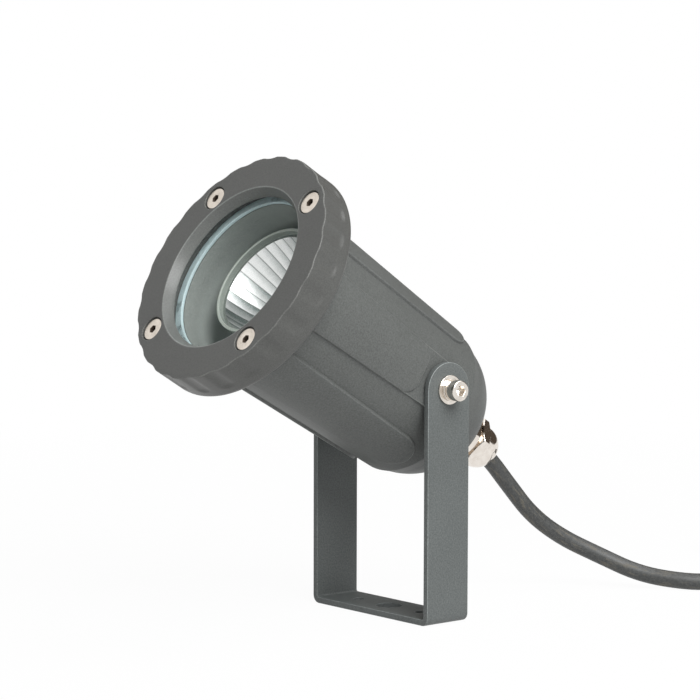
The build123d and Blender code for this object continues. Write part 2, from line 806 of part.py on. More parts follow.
# Cable gland: threaded body, sealing washer, rubber seal, domed cap nut and locknut
def make_gland():
    thread_radius = gland_thread_diameter / 2
    bore_radius = gland_bore_diameter / 2
    seal_radius = gland_seal_diameter / 2
    thread_top = gland_hex_z + gland_thread_length
    neck_end = gland_neck_z - gland_neck_length
    seal_start = neck_end + gland_seal_length
    body = hex_bar(gland_hex_width, gland_neck_z, gland_hex_z)
    body += rod(thread_radius, gland_hex_z, thread_top)
    body += rod(gland_neck_diameter / 2, neck_end, gland_neck_z)
    body -= rod(bore_radius, neck_end, thread_top)
    body -= rod(seal_radius + gland_fit_clearance, neck_end, seal_start)
    add("gland_body", body)
    washer_bore = thread_radius + gland_fit_clearance
    add("gland_washer", ring(gland_washer_diameter / 2, washer_bore, gland_hex_z, gland_seat_z))
    cable_bore = cable_radius + gland_fit_clearance
    add("gland_seal", ring(seal_radius, cable_bore, neck_end, seal_start))
    locknut = hex_bar(locknut_width, gland_wall_z, gland_wall_z + locknut_height)
    locknut -= rod(washer_bore, gland_wall_z, gland_wall_z + locknut_height)
    add("gland_locknut", locknut)
    dome_z = cap_z - cap_hex_height
    dome_side = cap_dome_diameter / 2
    cap_end = cap_end_diameter / 2
    crown_start = (dome_side, 0, dome_z - cap_straight)
    crown_end = (cap_end, 0, cap_end_z)
    crown = TangentArc(crown_start, crown_end, tangent=(0, 0, -1))
    sides = Polyline(crown_end, (0, 0, cap_end_z), (0, 0, cap_z), (dome_side, 0, cap_z), crown_start)
    cap = revolve(make_face([crown, *sides.edges()]), Axis.Z)
    cap += hex_bar(gland_hex_width, dome_z, cap_z)
    inner_radius = gland_neck_diameter / 2 + gland_fit_clearance
    mouth_radius = cap_mouth_diameter / 2
    throat_z = neck_end - gland_joint_gap
    cap -= turned(
        (0, cap_z),
        (inner_radius, cap_z),
        (inner_radius, throat_z),
        (mouth_radius, throat_z - (inner_radius - mouth_radius)),
        (mouth_radius, cap_end_z),
        (0, cap_end_z),
    )
    add("gland_cap_nut", cap)
    add("cable_entry", rod(cable_radius, cable_grip_z, sheath_end_z))


# Where a point of the head's axis lies in the object's frame
def axis_point(z):
    return tuple((head_place * Location((0, 0, z))).position)


# Route of the cable from the gland to the start of the coil, chosen by hand
coil_lift = cable_radius + tie_thickness + tie_clearance
lead_route = [
    axis_point(cable_grip_z),
    axis_point(cable_grip_z - cable_exit_run),
    (0.0, 68.3, 47.6),
    (1.0, 81.3, 33.2),
    (6.0, 95.0, 22.5),
    (15.0, 108.5, 13.2),
    (28.0, 121.5, 5.2),
]
floor_route = [
    (44.0, 133.0, cable_radius),
    (53.5, 143.6, cable_radius),
    (60.2, 156.1, cable_radius),
    (63.6, 169.9, cable_radius),
    (64.1, 184.1, cable_radius),
    (62.9, 198.2, cable_radius),
    (60.9, 212.3, cable_radius),
    (59.9, 226.5, coil_lift),
    (60.6, 240.7, coil_lift),
]

# Free end, as steps ahead and aside from the coil's end, with the share of its height that it has lost
tail_steps = [
    (0, 0, 0),
    (12, 0, 0),
    (25, 1.8, 0.3),
    (37.5, 7, 0.8),
    (47.5, 14.5, 1),
    (55, 24, 1),
]


def make_free_cable():
    # The tube is parted half way along a straight run, where the lead comes down to the floor
    parting = tuple((Vector(*lead_route[-1]) + Vector(*floor_route[0])) * 0.5)
    radii = bend_radii(lead_route + floor_route)
    print("cable bend radii", [round(r, 1) for r in radii])
    lead_corners = len(lead_route) - 1
    lead_path = FilletPolyline(*lead_route, parting, radius=radii[:lead_corners])
    floor_path = FilletPolyline(parting, *floor_route, radius=radii[lead_corners:])
    add("cable_lead", tube(lead_path, cable_radius), False)
    add("cable_floor_run", tube(floor_path, cable_radius), False)
    coil_path, coil_end, coil_heading = coil_line()
    add("cable_coil", tube(coil_path, cable_radius), False)
    make_tie()
    make_tail(coil_end, coil_heading)


# Centre of the coil and the heading with which the cable joins it
run_heading = (Vector(*floor_route[-1]) - Vector(*floor_route[-2])).normalized()
coil_start = Vector(*floor_route[-1]) + run_heading * cable_diameter
coil_centre = coil_start + run_heading.rotate(Axis.Z, 90) * coil_outer_radius
coil_start_angle = math.degrees(math.atan2((coil_start - coil_centre).Y, (coil_start - coil_centre).X))
climb_turns = 0.5


# The coil spirals in, climbs a layer in the half turn where it reverses, and spirals out on top
def coil_radius(turn):
    return coil_outer_radius - coil_pitch * (coil_turns / 2 - abs(turn - coil_turns / 2))


def coil_point(turn):
    radius = coil_radius(turn)
    climb = min(1.0, max(0.0, (turn - coil_turns / 2) / climb_turns + 0.5))
    height = layer_pitch * (1 - math.cos(math.pi * climb)) / 2
    angle = math.radians(coil_start_angle + 360 * turn)
    return coil_centre + Vector(radius * math.cos(angle), radius * math.sin(angle), height)


def coil_tangent(turn):
    step = 0.002
    return (coil_point(turn + step) - coil_point(turn - step)).normalized()


def biarc(start, start_way, end, end_way):
    """Two circular arcs that join two points along two headings."""
    chord = end - start
    ways = start_way + end_way
    spare = 2 * (1 - start_way.dot(end_way))
    along = chord.dot(ways)
    reach = (math.sqrt(along ** 2 + spare * chord.dot(chord)) - along) / spare
    first_corner = start + start_way * reach
    second_corner = end - end_way * reach
    middle = (first_corner + second_corner) * 0.5
    middle_way = (second_corner - first_corner).normalized()
    return [TangentArc(start, middle, tangent=start_way), TangentArc(middle, end, tangent=middle_way)]


def coil_line():
    quarter = 0.25
    stations = [k * quarter for k in range(round(coil_turns / quarter) + 1)]
    ways = [coil_tangent(t) for t in stations]
    ways[0] = run_heading
    last = ways[-1]
    ways[-1] = Vector(last.X, last.Y, 0).normalized()
    points = [coil_point(t) for t in stations]
    edges = [Line(Vector(*floor_route[-1]), points[0])]
    for k in range(len(stations) - 1):
        edges += biarc(points[k], ways[k], points[k + 1], ways[k + 1])
    end = points[-1] + ways[-1] * cable_diameter
    edges.append(Line(points[-1], end))
    path = Wire(edges)
    print_least_gap(path)
    return path, end, ways[-1]


def print_least_gap(path):
    """Print how near the coil's tube comes to itself."""
    count = 600
    points = [path.position_at(k / count) for k in range(count + 1)]
    apart = round(4 * cable_diameter / path.length * count)
    least = min(
        (points[i] - points[j]).length
        for i in range(0, count, 2)
        for j in range(i + apart, count + 1)
    )
    print(f"coil: least gap to itself {least - cable_diameter:.2f} mm")


# Flat band round the bundle of turns
def make_tie():
    turns_held = [coil_radius(tie_turn + k) for k in range(math.ceil(coil_turns - tie_turn))]
    inner_radius = min(turns_held) - cable_radius - tie_clearance
    outer_radius = max(turns_held) + cable_radius + tie_clearance
    low = tie_thickness
    high = coil_lift + layer_pitch + cable_radius + tie_clearance
    inside = Rectangle(outer_radius - inner_radius, high - low)
    outside = Rectangle(outer_radius - inner_radius + 2 * tie_thickness, high - low + 2 * tie_thickness)
    inside = fillet(inside.vertices(), tie_corner_radius)
    outside = fillet(outside.vertices(), tie_corner_radius + tie_thickness)
    loop = Plane.XZ * (outside - inside)
    band = extrude(loop, tie_width / 2, both=True)
    angle = coil_start_angle + 360 * tie_turn
    bundle = Pos((inner_radius + outer_radius) / 2, 0, (low + high) / 2) * band
    place = Pos(coil_centre.X, coil_centre.Y, 0) * Rot(0, 0, angle)
    add("coil_tie", place * bundle, False)


# The cable's free end, lying off the coil with its bare cores and ferrules
def make_tail(start, heading):
    side = heading.rotate(Axis.Z, 90)
    drop = start.Z - cable_radius
    route = []
    for ahead, aside, fall in tail_steps:
        point = start + heading * ahead + side * aside
        route.append((point.X, point.Y, start.Z - drop * fall))
    add("cable_tail", routed_tube("cable tail", route, cable_radius), False)
    end = Vector(*route[-1])
    way = (end - Vector(*route[-2])).normalized()
    across = way.rotate(Axis.Z, 90)
    core_radius = core_diameter / 2
    tip_z = ferrule_diameter / 2 + floor_clearance
    bare_cores = []
    ferrules = []
    for lane, angle in ((-1, 210), (0, 90), (1, 330)):
        aside, lift = lay_place(angle)
        first = end + across * aside + Vector(0, 0, lift)
        bend = first + way * bare_core_straight
        tip = first + way * bare_core_length + across * (lane * bare_core_spread)
        tip = Vector(tip.X, tip.Y, tip_z)
        bare_cores.append(routed_tube("bare core", [tuple(first), tuple(bend), tuple(tip)], core_radius))
        aim = (tip - bend).normalized()
        sleeve_plane = Plane(tip - aim * ferrule_length, z_dir=aim)
        sleeve = extrude(sleeve_plane * Circle(ferrule_diameter / 2), ferrule_length)
        sleeve -= extrude(sleeve_plane * Circle(core_radius + ferrule_clearance), ferrule_length)
        ferrules.append(sleeve)
    add("bare_cores", bare_cores, False)
    add("core_ferrules", ferrules, False)


def make_glass():
    glass_radius = glass_diameter / 2
    add("front_glass", rod(glass_radius, glass_back_z, glass_front_z))
    add("glass_gasket", ring(glass_radius, gasket_inner_diameter / 2, rim_z, glass_back_z))


add("u_bracket", make_bracket(), False)
make_pivot_hardware()
add("bezel_ring", make_bezel())
add("bezel_screws", spread(make_bezel_screw(), screw_count, 180 / screw_count))
make_glass()
add("housing", make_housing())
make_lamp()
make_holder()
make_terminals()
make_inner_wires(make_earth_point())
make_gland()
make_free_cable()

os.makedirs("parts", exist_ok=True)
for name, solids in parts.items():
    shape = solids[0] if len(solids) == 1 else Compound(children=solids)
    export_step(shape, os.path.join("parts", name + ".step"))
print(len(parts), "nodes written")
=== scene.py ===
import json
import math

import bmesh
import bpy
import numpy as np
from mathutils import Matrix, Vector


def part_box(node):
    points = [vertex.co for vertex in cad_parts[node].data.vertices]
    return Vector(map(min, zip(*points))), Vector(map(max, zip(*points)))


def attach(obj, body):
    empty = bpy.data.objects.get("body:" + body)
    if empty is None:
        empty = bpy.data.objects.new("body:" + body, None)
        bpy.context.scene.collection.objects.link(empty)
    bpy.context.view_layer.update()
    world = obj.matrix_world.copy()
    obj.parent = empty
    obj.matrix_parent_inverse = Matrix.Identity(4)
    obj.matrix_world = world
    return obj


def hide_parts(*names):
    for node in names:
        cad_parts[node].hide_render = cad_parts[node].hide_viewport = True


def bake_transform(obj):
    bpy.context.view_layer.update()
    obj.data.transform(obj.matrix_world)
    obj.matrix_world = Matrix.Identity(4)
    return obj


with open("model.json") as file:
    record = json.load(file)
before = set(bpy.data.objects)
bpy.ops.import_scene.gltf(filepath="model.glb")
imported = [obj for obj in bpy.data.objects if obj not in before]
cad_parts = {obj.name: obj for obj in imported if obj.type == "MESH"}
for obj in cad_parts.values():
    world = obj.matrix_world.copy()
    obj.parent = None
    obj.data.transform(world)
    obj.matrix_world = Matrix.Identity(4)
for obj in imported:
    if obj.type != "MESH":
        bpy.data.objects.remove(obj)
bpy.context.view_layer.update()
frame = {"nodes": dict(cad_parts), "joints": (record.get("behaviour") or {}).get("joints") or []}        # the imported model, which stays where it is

# Garden spotlight: a die-cast head on two pivot bolts in a strip bracket, with a rubber cable.
# Sizes are millimetres and degrees, and every mesh is written in metres.
mm = 0.001
scene = bpy.context.scene
scene.view_settings.view_transform = "Standard"
print("frame loaded:", len(frame["nodes"]), "nodes")


# an object that holds the data, linked to the scene
def addObject(name, data):
    holder = bpy.data.objects.new(name, data)
    scene.collection.objects.link(holder)
    return holder


# Camera, at the photograph's viewing angle
cameraFit = dict(
    azimuth=49.903, elevation=5.089, roll=0.141, lens=136.9, sensor=36.0,
    place=(833.02, -723.16, 208.22), nearest=50.0, furthest=50000.0,
)


# turned about Z to the azimuth, tipped up from straight down, then rolled about its own axis
def addCamera(fit):
    data = bpy.data.cameras.new("photoCamera")
    data.lens = fit["lens"]
    data.sensor_width = fit["sensor"]
    data.clip_start = fit["nearest"] * mm
    data.clip_end = fit["furthest"] * mm
    turns = ((fit["azimuth"], "Z"), (90 - fit["elevation"], "X"), (fit["roll"], "Z"))
    azimuth, tip, roll = (Matrix.Rotation(math.radians(angle), 4, axis) for angle, axis in turns)
    scene.camera = addObject("photoCamera", data)
    scene.camera.matrix_world = Matrix.Translation(Vector(fit["place"]) * mm) @ azimuth @ tip @ roll


addCamera(cameraFit)
print("camera set")


# Places: the head's own frame has its Z along the lamp's axis and its origin on the pivot
headPose = dict(tilt=31.5, pivot=np.array(frame["joints"][0]["pos_m"]) / mm)
lean = math.radians(90 - headPose["tilt"])
headTurn = np.array([
    [1, 0, 0],
    [0, math.cos(lean), -math.sin(lean)],
    [0, math.sin(lean), math.cos(lean)],
])


# the head's frame turned about X by the lean, then lifted to the pivot
def onHead(points):
    return points @ headTurn.T + headPose["pivot"]


# the object's own frame
def asMade(points):
    return points


# Shapes: every sheet is a grid of rows, columns and xyz

# quads of a grid, each cell by its four corners, with the last column joined to the first where closed
def gridQuads(rows, columns, closed):
    row, column = np.meshgrid(
        np.arange(rows - 1), np.arange(columns if closed else columns - 1), indexing="ij"
    )
    after = (column + 1) % columns
    quads = [row * columns + column, row * columns + after, (row + 1) * columns + after]
    return np.stack([*quads, (row + 1) * columns + column], -1).reshape(-1, 4)


def unit(vector):
    return vector / np.linalg.norm(vector)


# distance walked along a line up to each of its points
def runAlong(line):
    return np.concatenate([[0], np.cumsum(np.linalg.norm(np.diff(line, axis=0), axis=1))])


# flat points with one height added
def atHeight(flat, height):
    return np.concatenate([flat, np.full((*flat.shape[:-1], 1), height)], -1)


# the cosine and sine of each angle
def waysAt(angle):
    return np.stack([np.cos(angle), np.sin(angle)], -1)


# each (radius, height, fillet) corner gives way to an arc tangent to its two sides
def roundedLine(corners, steps=6):
    spots = np.array([corner[:2] for corner in corners], float)
    line = [spots[:1]]
    for k in range(1, len(corners) - 1):
        fillet = corners[k][2] if len(corners[k]) > 2 else 0
        if not fillet:
            line.append(spots[k:k + 1])
            continue
        back, ahead = unit(spots[k - 1] - spots[k]), unit(spots[k + 1] - spots[k])
        half = math.acos(np.clip(back @ ahead, -1, 1)) / 2
        centre = spots[k] + unit(back + ahead) * fillet / math.sin(half)
        first = spots[k] + back * fillet / math.tan(half) - centre
        last = spots[k] + ahead * fillet / math.tan(half) - centre
        start = math.atan2(first[1], first[0])
        sweep = (math.atan2(last[1], last[0]) - start + math.pi) % (2 * math.pi) - math.pi
        angle = start + np.linspace(0, sweep, steps)
        line.append(centre + fillet * waysAt(angle))
    return np.concatenate([*line, spots[-1:]])


# circle through three points, walked from the first past the second to the third
def arcThrough(first, middle, last, steps):
    a, b, c = (np.array(spot, float) for spot in (first, middle, last))
    sides = 2 * np.array([b - a, c - a])
    centre = np.linalg.solve(sides, [b @ b - a @ a, c @ c - a @ a])
    angles = np.unwrap([math.atan2(*(spot - centre)[::-1]) for spot in (a, b, c)])
    angle = np.linspace(angles[0], angles[2], steps)
    radius = np.linalg.norm(a - centre)
    return centre + radius * waysAt(angle)


# points added along a line, none further apart than step, with its own points kept
def finer(line, step):
    run = runAlong(line)
    stations = np.unique(np.round(np.concatenate([run, np.arange(0, run[-1], step)]), 4))
    return np.stack([np.interp(stations, run, line[:, k]) for k in range(line.shape[1])], 1)


# distance to a hexagon's side over its half width, one at the flats and more at the corners
def hexagonReach(angle):
    return 1 / np.cos(angle % (math.pi / 3) - math.pi / 6)


def roundAngles(columns):
    return np.linspace(0, 2 * math.pi, columns, endpoint=False)


# radii of rows x columns and a height for each row, laid round the Z axis
def roundSheet(radii, heights):
    angle = roundAngles(radii.shape[1])
    heights = np.asarray(heights, float)[:, None] * np.ones(radii.shape[1])
    return np.stack([radii * np.cos(angle), radii * np.sin(angle), heights], -1)


# (radius, height, hexagon share) rows turned about Z: the radius grows by the share of a hexagon's reach
def turned(rows, columns=96):
    rows = np.array([(*row, 0)[:3] for row in rows], float)
    growth = 1 + rows[:, 2:] * (hexagonReach(roundAngles(columns)) - 1)
    return roundSheet(rows[:, :1] * growth, rows[:, 1])


# one closed outline carried through rows of points, with both ends drawn to their middles
def capped(grid):
    ends = [np.broadcast_to(row.mean(0), row.shape)[None] for row in (grid[0], grid[-1])]
    return np.concatenate([ends[0], grid, ends[1]])


# one row for each ring from a hole's edge out to a boundary, along straight lines between them
def ringsToBoundary(centre, holeRadius, boundary, rings):
    way = boundary - centre
    angle = np.arctan2(way[:, 1], way[:, 0])
    hole = centre + holeRadius * waysAt(angle)
    share = np.linspace(0, 1, rings)[:, None, None]
    return hole * (1 - share) + boundary * share, angle


# a hole's wall: (radius, height) rows round a centre at the angles of its rings
def holeWall(centre, angle, rows):
    rows = np.asarray(rows, float)
    flat = centre + rows[:, None, :1] * waysAt(angle)
    return np.concatenate([flat, np.broadcast_to(rows[:, None, 1:], (*flat.shape[:2], 1))], -1)


# how sharp a mesh is at each vertex, for its finish, which paints sharp edges paler as wear and as painted
# highlight: over every edge that stands out, the angle between its two faces divided by the distance
# between their middles, times the radius that counts as worn and highlit
def markEdges(mesh, wearAndHighlightRadius):
    normals, middles = (np.zeros(len(mesh.polygons) * 3) for _ in range(2))
    mesh.polygons.foreach_get("normal", normals)
    mesh.polygons.foreach_get("center", middles)
    normals, middles = normals.reshape(-1, 3), middles.reshape(-1, 3)
    loopEdge = np.zeros(len(mesh.loops), np.int32)
    mesh.loops.foreach_get("edge_index", loopEdge)
    corners = np.zeros(len(mesh.polygons), np.int32)
    mesh.polygons.foreach_get("loop_total", corners)
    ends = np.zeros(len(mesh.edges) * 2, np.int32)
    mesh.edges.foreach_get("vertices", ends)
    order = np.argsort(loopEdge, kind="stable")
    face = np.repeat(np.arange(len(corners)), corners)[order]
    pair = np.flatnonzero(loopEdge[order][1:] == loopEdge[order][:-1])
    one, two = face[pair], face[pair + 1]
    step = middles[two] - middles[one]
    bend = np.arccos(np.clip((normals[one] * normals[two]).sum(1), -1, 1))
    standsOut = (step * normals[one]).sum(1) < 0
    sharpness = np.where(standsOut, bend / np.maximum(np.linalg.norm(step, axis=1), 1e-6), 0)
    wearAndHighlightLevel = np.zeros(len(mesh.vertices))
    touched = ends.reshape(-1, 2)[loopEdge[order][pair]]
    np.maximum.at(wearAndHighlightLevel, touched.ravel(), np.repeat(sharpness, 2))
    layer = mesh.attributes.new("edgeWearAndHighlight", "FLOAT", "POINT")
    layer.data.foreach_set("value", np.clip(wearAndHighlightLevel * wearAndHighlightRadius * mm, 0, 1).astype(np.float32))


# sharp edges are painted paler within the worn radius, as wear and as painted highlight
sewing = dict(mergeDistance=0.002, wearAndHighlightRadius=0.4, sharp=35, tubeSharp=50)


# doubles merged, faces turned outwards, finishes given, and smooth shading up to the sharp angle
def sew(mesh, finishes, sharp):
    sewn = bmesh.new()
    sewn.from_mesh(mesh)
    bmesh.ops.remove_doubles(sewn, verts=sewn.verts, dist=sewing["mergeDistance"] * mm)
    bmesh.ops.recalc_face_normals(sewn, faces=sewn.faces)
    sewn.to_mesh(mesh)
    sewn.free()
    for look in finishes:
        mesh.materials.append(look)
    mesh.polygons.foreach_set("use_smooth", np.ones(len(mesh.polygons), bool))
    mesh.set_sharp_from_angle(angle=math.radians(sharp))


# sheets of (points, closed, finish number) sewn into one mesh, placed, and given to a body
def makePiece(name, sheets, finishes, place, body, slotName, nodes, sharp=sewing["sharp"]):
    points, quads, marks = [], [], []
    count = 0
    for grid, closed, mark in sheets:
        cells = gridQuads(grid.shape[0], grid.shape[1], closed) + count
        points.append(grid.reshape(-1, 3))
        quads.append(cells)
        marks.append(np.full(len(cells), mark))
        count += grid.shape[0] * grid.shape[1]
    mesh = bpy.data.meshes.new(name)
    mesh.from_pydata(place(np.concatenate(points)) * mm, [], np.concatenate(quads).tolist())
    mesh.polygons.foreach_set("material_index", np.concatenate(marks).astype(np.int32))
    sew(mesh, finishes, sharp)
    markEdges(mesh, sewing["wearAndHighlightRadius"])
    piece = addObject(name, mesh)
    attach(piece, body)
    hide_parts(*nodes)
    print("piece", name, len(mesh.polygons), "faces")
    return piece


# Shader maths: a socket with its arithmetic, and a tree that makes any other node
def plug(tree, socket, value):
    if isinstance(value, Signal):
        tree.links.new(value.socket, socket)
    else:
        socket.default_value = value


# an operator and its reflected form, which has the socket on the right
def arithmetic(operation):
    def forward(self, other):
        return self.combine(operation, self, other)

    def reflected(self, other):
        return self.combine(operation, other, self)
    return forward, reflected


class Signal:
    def __init__(self, tree, socket):
        self.tree = tree
        self.socket = socket

    def combine(self, operation, first, second):
        node = self.tree.nodes.new("ShaderNodeMath")
        node.operation = operation
        plug(self.tree, node.inputs[0], first)
        plug(self.tree, node.inputs[1], second)
        return Signal(self.tree, node.outputs[0])

    __add__, __radd__ = arithmetic("ADD")
    __sub__, __rsub__ = arithmetic("SUBTRACT")
    __mul__, __rmul__ = arithmetic("MULTIPLY")
    __pow__, __rpow__ = arithmetic("POWER")


class NodeTree:
    def __init__(self, tree):
        self.tree = tree
        self.tree.nodes.clear()

    # any node by its type: settings first, then socket values or links, and one of its outputs
    def node(self, kind, settings, sockets, out=0):
        node = self.tree.nodes.new(kind)
        for key, value in settings.items():
            setattr(node, key, value)
        for key, value in sockets.items():
            plug(self.tree, node.inputs[key], value)
        if node.outputs:
            return Signal(self.tree, node.outputs[out])

    def objectPlace(self):
        return self.node("ShaderNodeTexCoord", {}, {}, "Object")

    def noise(self, place, scale, detail=2.0, roughness=0.5):
        sockets = {"Vector": place, "Scale": scale, "Detail": detail, "Roughness": roughness}
        return self.node("ShaderNodeTexNoise", {}, sockets)

    # a value spread from low..high to 0..1 and held there
    def spread(self, value, low, high):
        return self.node("ShaderNodeMapRange", {}, {"Value": value, "From Min": low, "From Max": high})

    def mixColour(self, share, first, second):
        colours = [c if isinstance(c, Signal) else (*c, 1) for c in (first, second)]
        sockets = {0: share, 6: colours[0], 7: colours[1]}
        return self.node("ShaderNodeMix", {"data_type": "RGBA"}, sockets, 2)

    def maths(self, operation, *values):
        return self.node("ShaderNodeMath", {"operation": operation}, dict(enumerate(values)))

    # distance of a place along a way from a start
    def along(self, place, way, start):
        sockets = {0: place, 1: tuple(way)}
        reach = self.node("ShaderNodeVectorMath", {"operation": "DOT_PRODUCT"}, sockets, "Value")
        return reach - float(way @ start)

    def bump(self, height, strength, distance):
        sockets = {"Height": height, "Strength": strength, "Distance": distance * mm}
        return self.node("ShaderNodeBump", {}, sockets)


# a material or a world whose output is the shader that build makes
def shaded(data, output, build):
    data.use_nodes = True
    tree = NodeTree(data.node_tree)
    tree.node(output, {}, {"Surface": build(tree)})
    return data


def newMaterial(name, build):
    return shaded(bpy.data.materials.new(name), "ShaderNodeOutputMaterial", build)


# makes a named Principled surface of a function that takes a tree and settings and gives its sockets
def finishMaker(build):
    def make(name, *settings):
        def principled(tree):
            given = build(tree, *settings)
            sockets = {k: (*v, 1) if isinstance(v, tuple) else v for k, v in given.items()}
            return tree.node("ShaderNodeBsdfPrincipled", {}, sockets)
        return newMaterial(name, principled)
    return make


coatLook = dict(cloudScale=24, fleckScale=2.3, fleckPaler=1.5, barePaler=2.6, specular=0.36)


# sanded powder coat: fine grain in colour and height, paler flecks, slow clouding, and edges painted pale,
# partly as rubbed wear and partly as painted highlight
@finishMaker
def powderCoat(tree, dark, light, grainScale, grainHeight, gloss, wearAndHighlightShare):
    place = tree.objectPlace()
    grain = tree.noise(place, grainScale, 2)
    cloud = tree.noise(place, coatLook["cloudScale"], 3)
    fleck = tree.spread(tree.noise(place, grainScale * coatLook["fleckScale"], 1), 0.6, 0.72)
    share = tree.spread(grain * 0.75 + cloud * 0.25, 0.35, 0.65)
    colour = tree.mixColour(share, dark, light)
    paler, bare = (tuple(c * coatLook[k] for c in light) for k in ("fleckPaler", "barePaler"))
    colour = tree.mixColour(fleck * 0.3, colour, paler)
    # edges painted paler: partly rubbed wear, partly painted highlight where light catches the rounded
    # edges
    edge = tree.node("ShaderNodeAttribute", {"attribute_name": "edgeWearAndHighlight"}, {}, "Fac")
    wearAndHighlight = tree.spread(edge, 0.45, 0.95) * tree.spread(cloud * 0.6 + grain * 0.4, 0.3, 0.6)
    return {
        "Base Color": tree.mixColour(wearAndHighlight * wearAndHighlightShare, colour, bare),
        "Roughness": grain * 0.16 + (gloss - 0.08) - wearAndHighlight * wearAndHighlightShare * 0.1,
        "Normal": tree.bump(grain, 0.55, grainHeight),
        "Specular IOR Level": coatLook["specular"],
    }


# bright metal with a faint mottle and fine scratches drawn out along X
@finishMaker
def brightMetal(tree, colour, shade, gloss, scratch):
    place = tree.objectPlace()
    mottle = tree.noise(place, 420, 3)
    stretched = tree.node("ShaderNodeMapping", {}, {"Vector": place, "Scale": (0.12, 1, 1)})
    lines = tree.noise(stretched, 2600, 2)
    return {
        "Base Color": tree.mixColour(tree.spread(mottle, 0.3, 0.7), shade, colour),
        "Metallic": 1.0,
        "Roughness": mottle * 0.12 + lines * 0.06 + (gloss - 0.09),
        "Normal": tree.bump(lines, 0.3, scratch),
    }


# moulded plastic, rubber or ceramic: slow colour change and a fine uneven skin
@finishMaker
def moulded(tree, colour, gloss, skinScale, skinHeight):
    place = tree.objectPlace()
    skin = tree.noise(place, skinScale, 3)
    cloud = tree.noise(place, 60, 2)
    deep = tuple(channel * 0.8 for channel in colour)
    return {
        "Base Color": tree.mixColour(tree.spread(cloud * 0.6 + skin * 0.4, 0.3, 0.7), deep, colour),
        "Roughness": skin * 0.2 + (gloss - 0.1),
        "Normal": tree.bump(skin, 0.3, skinHeight),
    }


# clear glass: nearly all see-through, with a thin uneven film, closing where it is seen edge on
@finishMaker
def clearGlass(tree, colour, film, edge):
    place = tree.objectPlace()
    facing = tree.node("ShaderNodeLayerWeight", {}, {"Blend": 0.35}, "Facing")
    haze = tree.noise(place, 55, 3)
    return {
        "Base Color": colour,
        "Roughness": haze * 0.05 + 0.02,
        "Alpha": facing ** 3 * edge + haze * film,
        "IOR": 1.5,
    }


# the head's inside: its coat painted paler than outside, and paler still with depth along the head's axis,
# as painted light that lifts the cavity's shade
insideWallLook = dict(
    mouth=82.0, deep=62.0, grainScale=900,
    dark=(0.23, 0.252, 0.238), light=(0.28, 0.304, 0.285), pale=(0.58, 0.63, 0.6),
)


@finishMaker
def castInside(tree):
    place = tree.objectPlace()
    origin, ahead = onHead(np.array([[0, 0, 0], [0, 0, 1]]))
    station = tree.along(place, ahead - origin, origin * mm)
    grain = tree.noise(place, insideWallLook["grainScale"], 3)
    colour = tree.mixColour(tree.spread(grain, 0.3, 0.7), insideWallLook["dark"], insideWallLook["light"])
    # paler with depth: painted light where the lamp and bezel shade the cavity
    depth = tree.spread(station, insideWallLook["mouth"] * mm, insideWallLook["deep"] * mm)
    return {
        "Base Color": tree.mixColour(depth, colour, insideWallLook["pale"]),
        "Roughness": grain * 0.1 + 0.55,
        "Normal": tree.bump(grain, 0.3, 0.02),
    }


# striped sheath of the earth core: slanting bands of two colours
@finishMaker
def stripedSheath(tree, first, second, bands):
    place = tree.objectPlace()
    slant = {"bands_direction": "DIAGONAL"}
    wave = tree.node("ShaderNodeTexWave", slant, {"Vector": place, "Scale": bands}, "Fac")
    skin = tree.noise(place, 900, 3)
    return {
        "Base Color": tree.mixColour(tree.spread(wave, 0.58, 0.66), first, second),
        "Roughness": skin * 0.2 + 0.32,
        "Normal": tree.bump(skin, 0.3, 0.02),
    }


flexLook = dict(
    dark=(0.032, 0.034, 0.034), light=(0.062, 0.064, 0.062), dust=(0.2, 0.175, 0.13),
    skinScale=900, scuffStretch=(38, 5, 1),
)


# rubber flex: dark grey, dusty tan scuffs drawn out along its length, on the piece's own map
@finishMaker
def rubberFlex(tree):
    along = tree.node("ShaderNodeUVMap", {"uv_map": "cableMap"}, {})
    place = tree.objectPlace()
    skin = tree.noise(place, flexLook["skinScale"], 3)
    drawn = tree.node("ShaderNodeMapping", {}, {"Vector": along, "Scale": flexLook["scuffStretch"]})
    scuff = tree.spread(tree.noise(drawn, 3, 4, 0.65), 0.52, 0.72)
    colour = tree.mixColour(tree.spread(skin, 0.3, 0.7), flexLook["dark"], flexLook["light"])
    return {
        "Base Color": tree.mixColour(scuff * 0.55, colour, flexLook["dust"]),
        "Roughness": scuff * 0.25 + skin * 0.1 + 0.42,
        "Normal": tree.bump(skin * 0.6 + scuff * 0.4, 0.4, 0.12),
    }


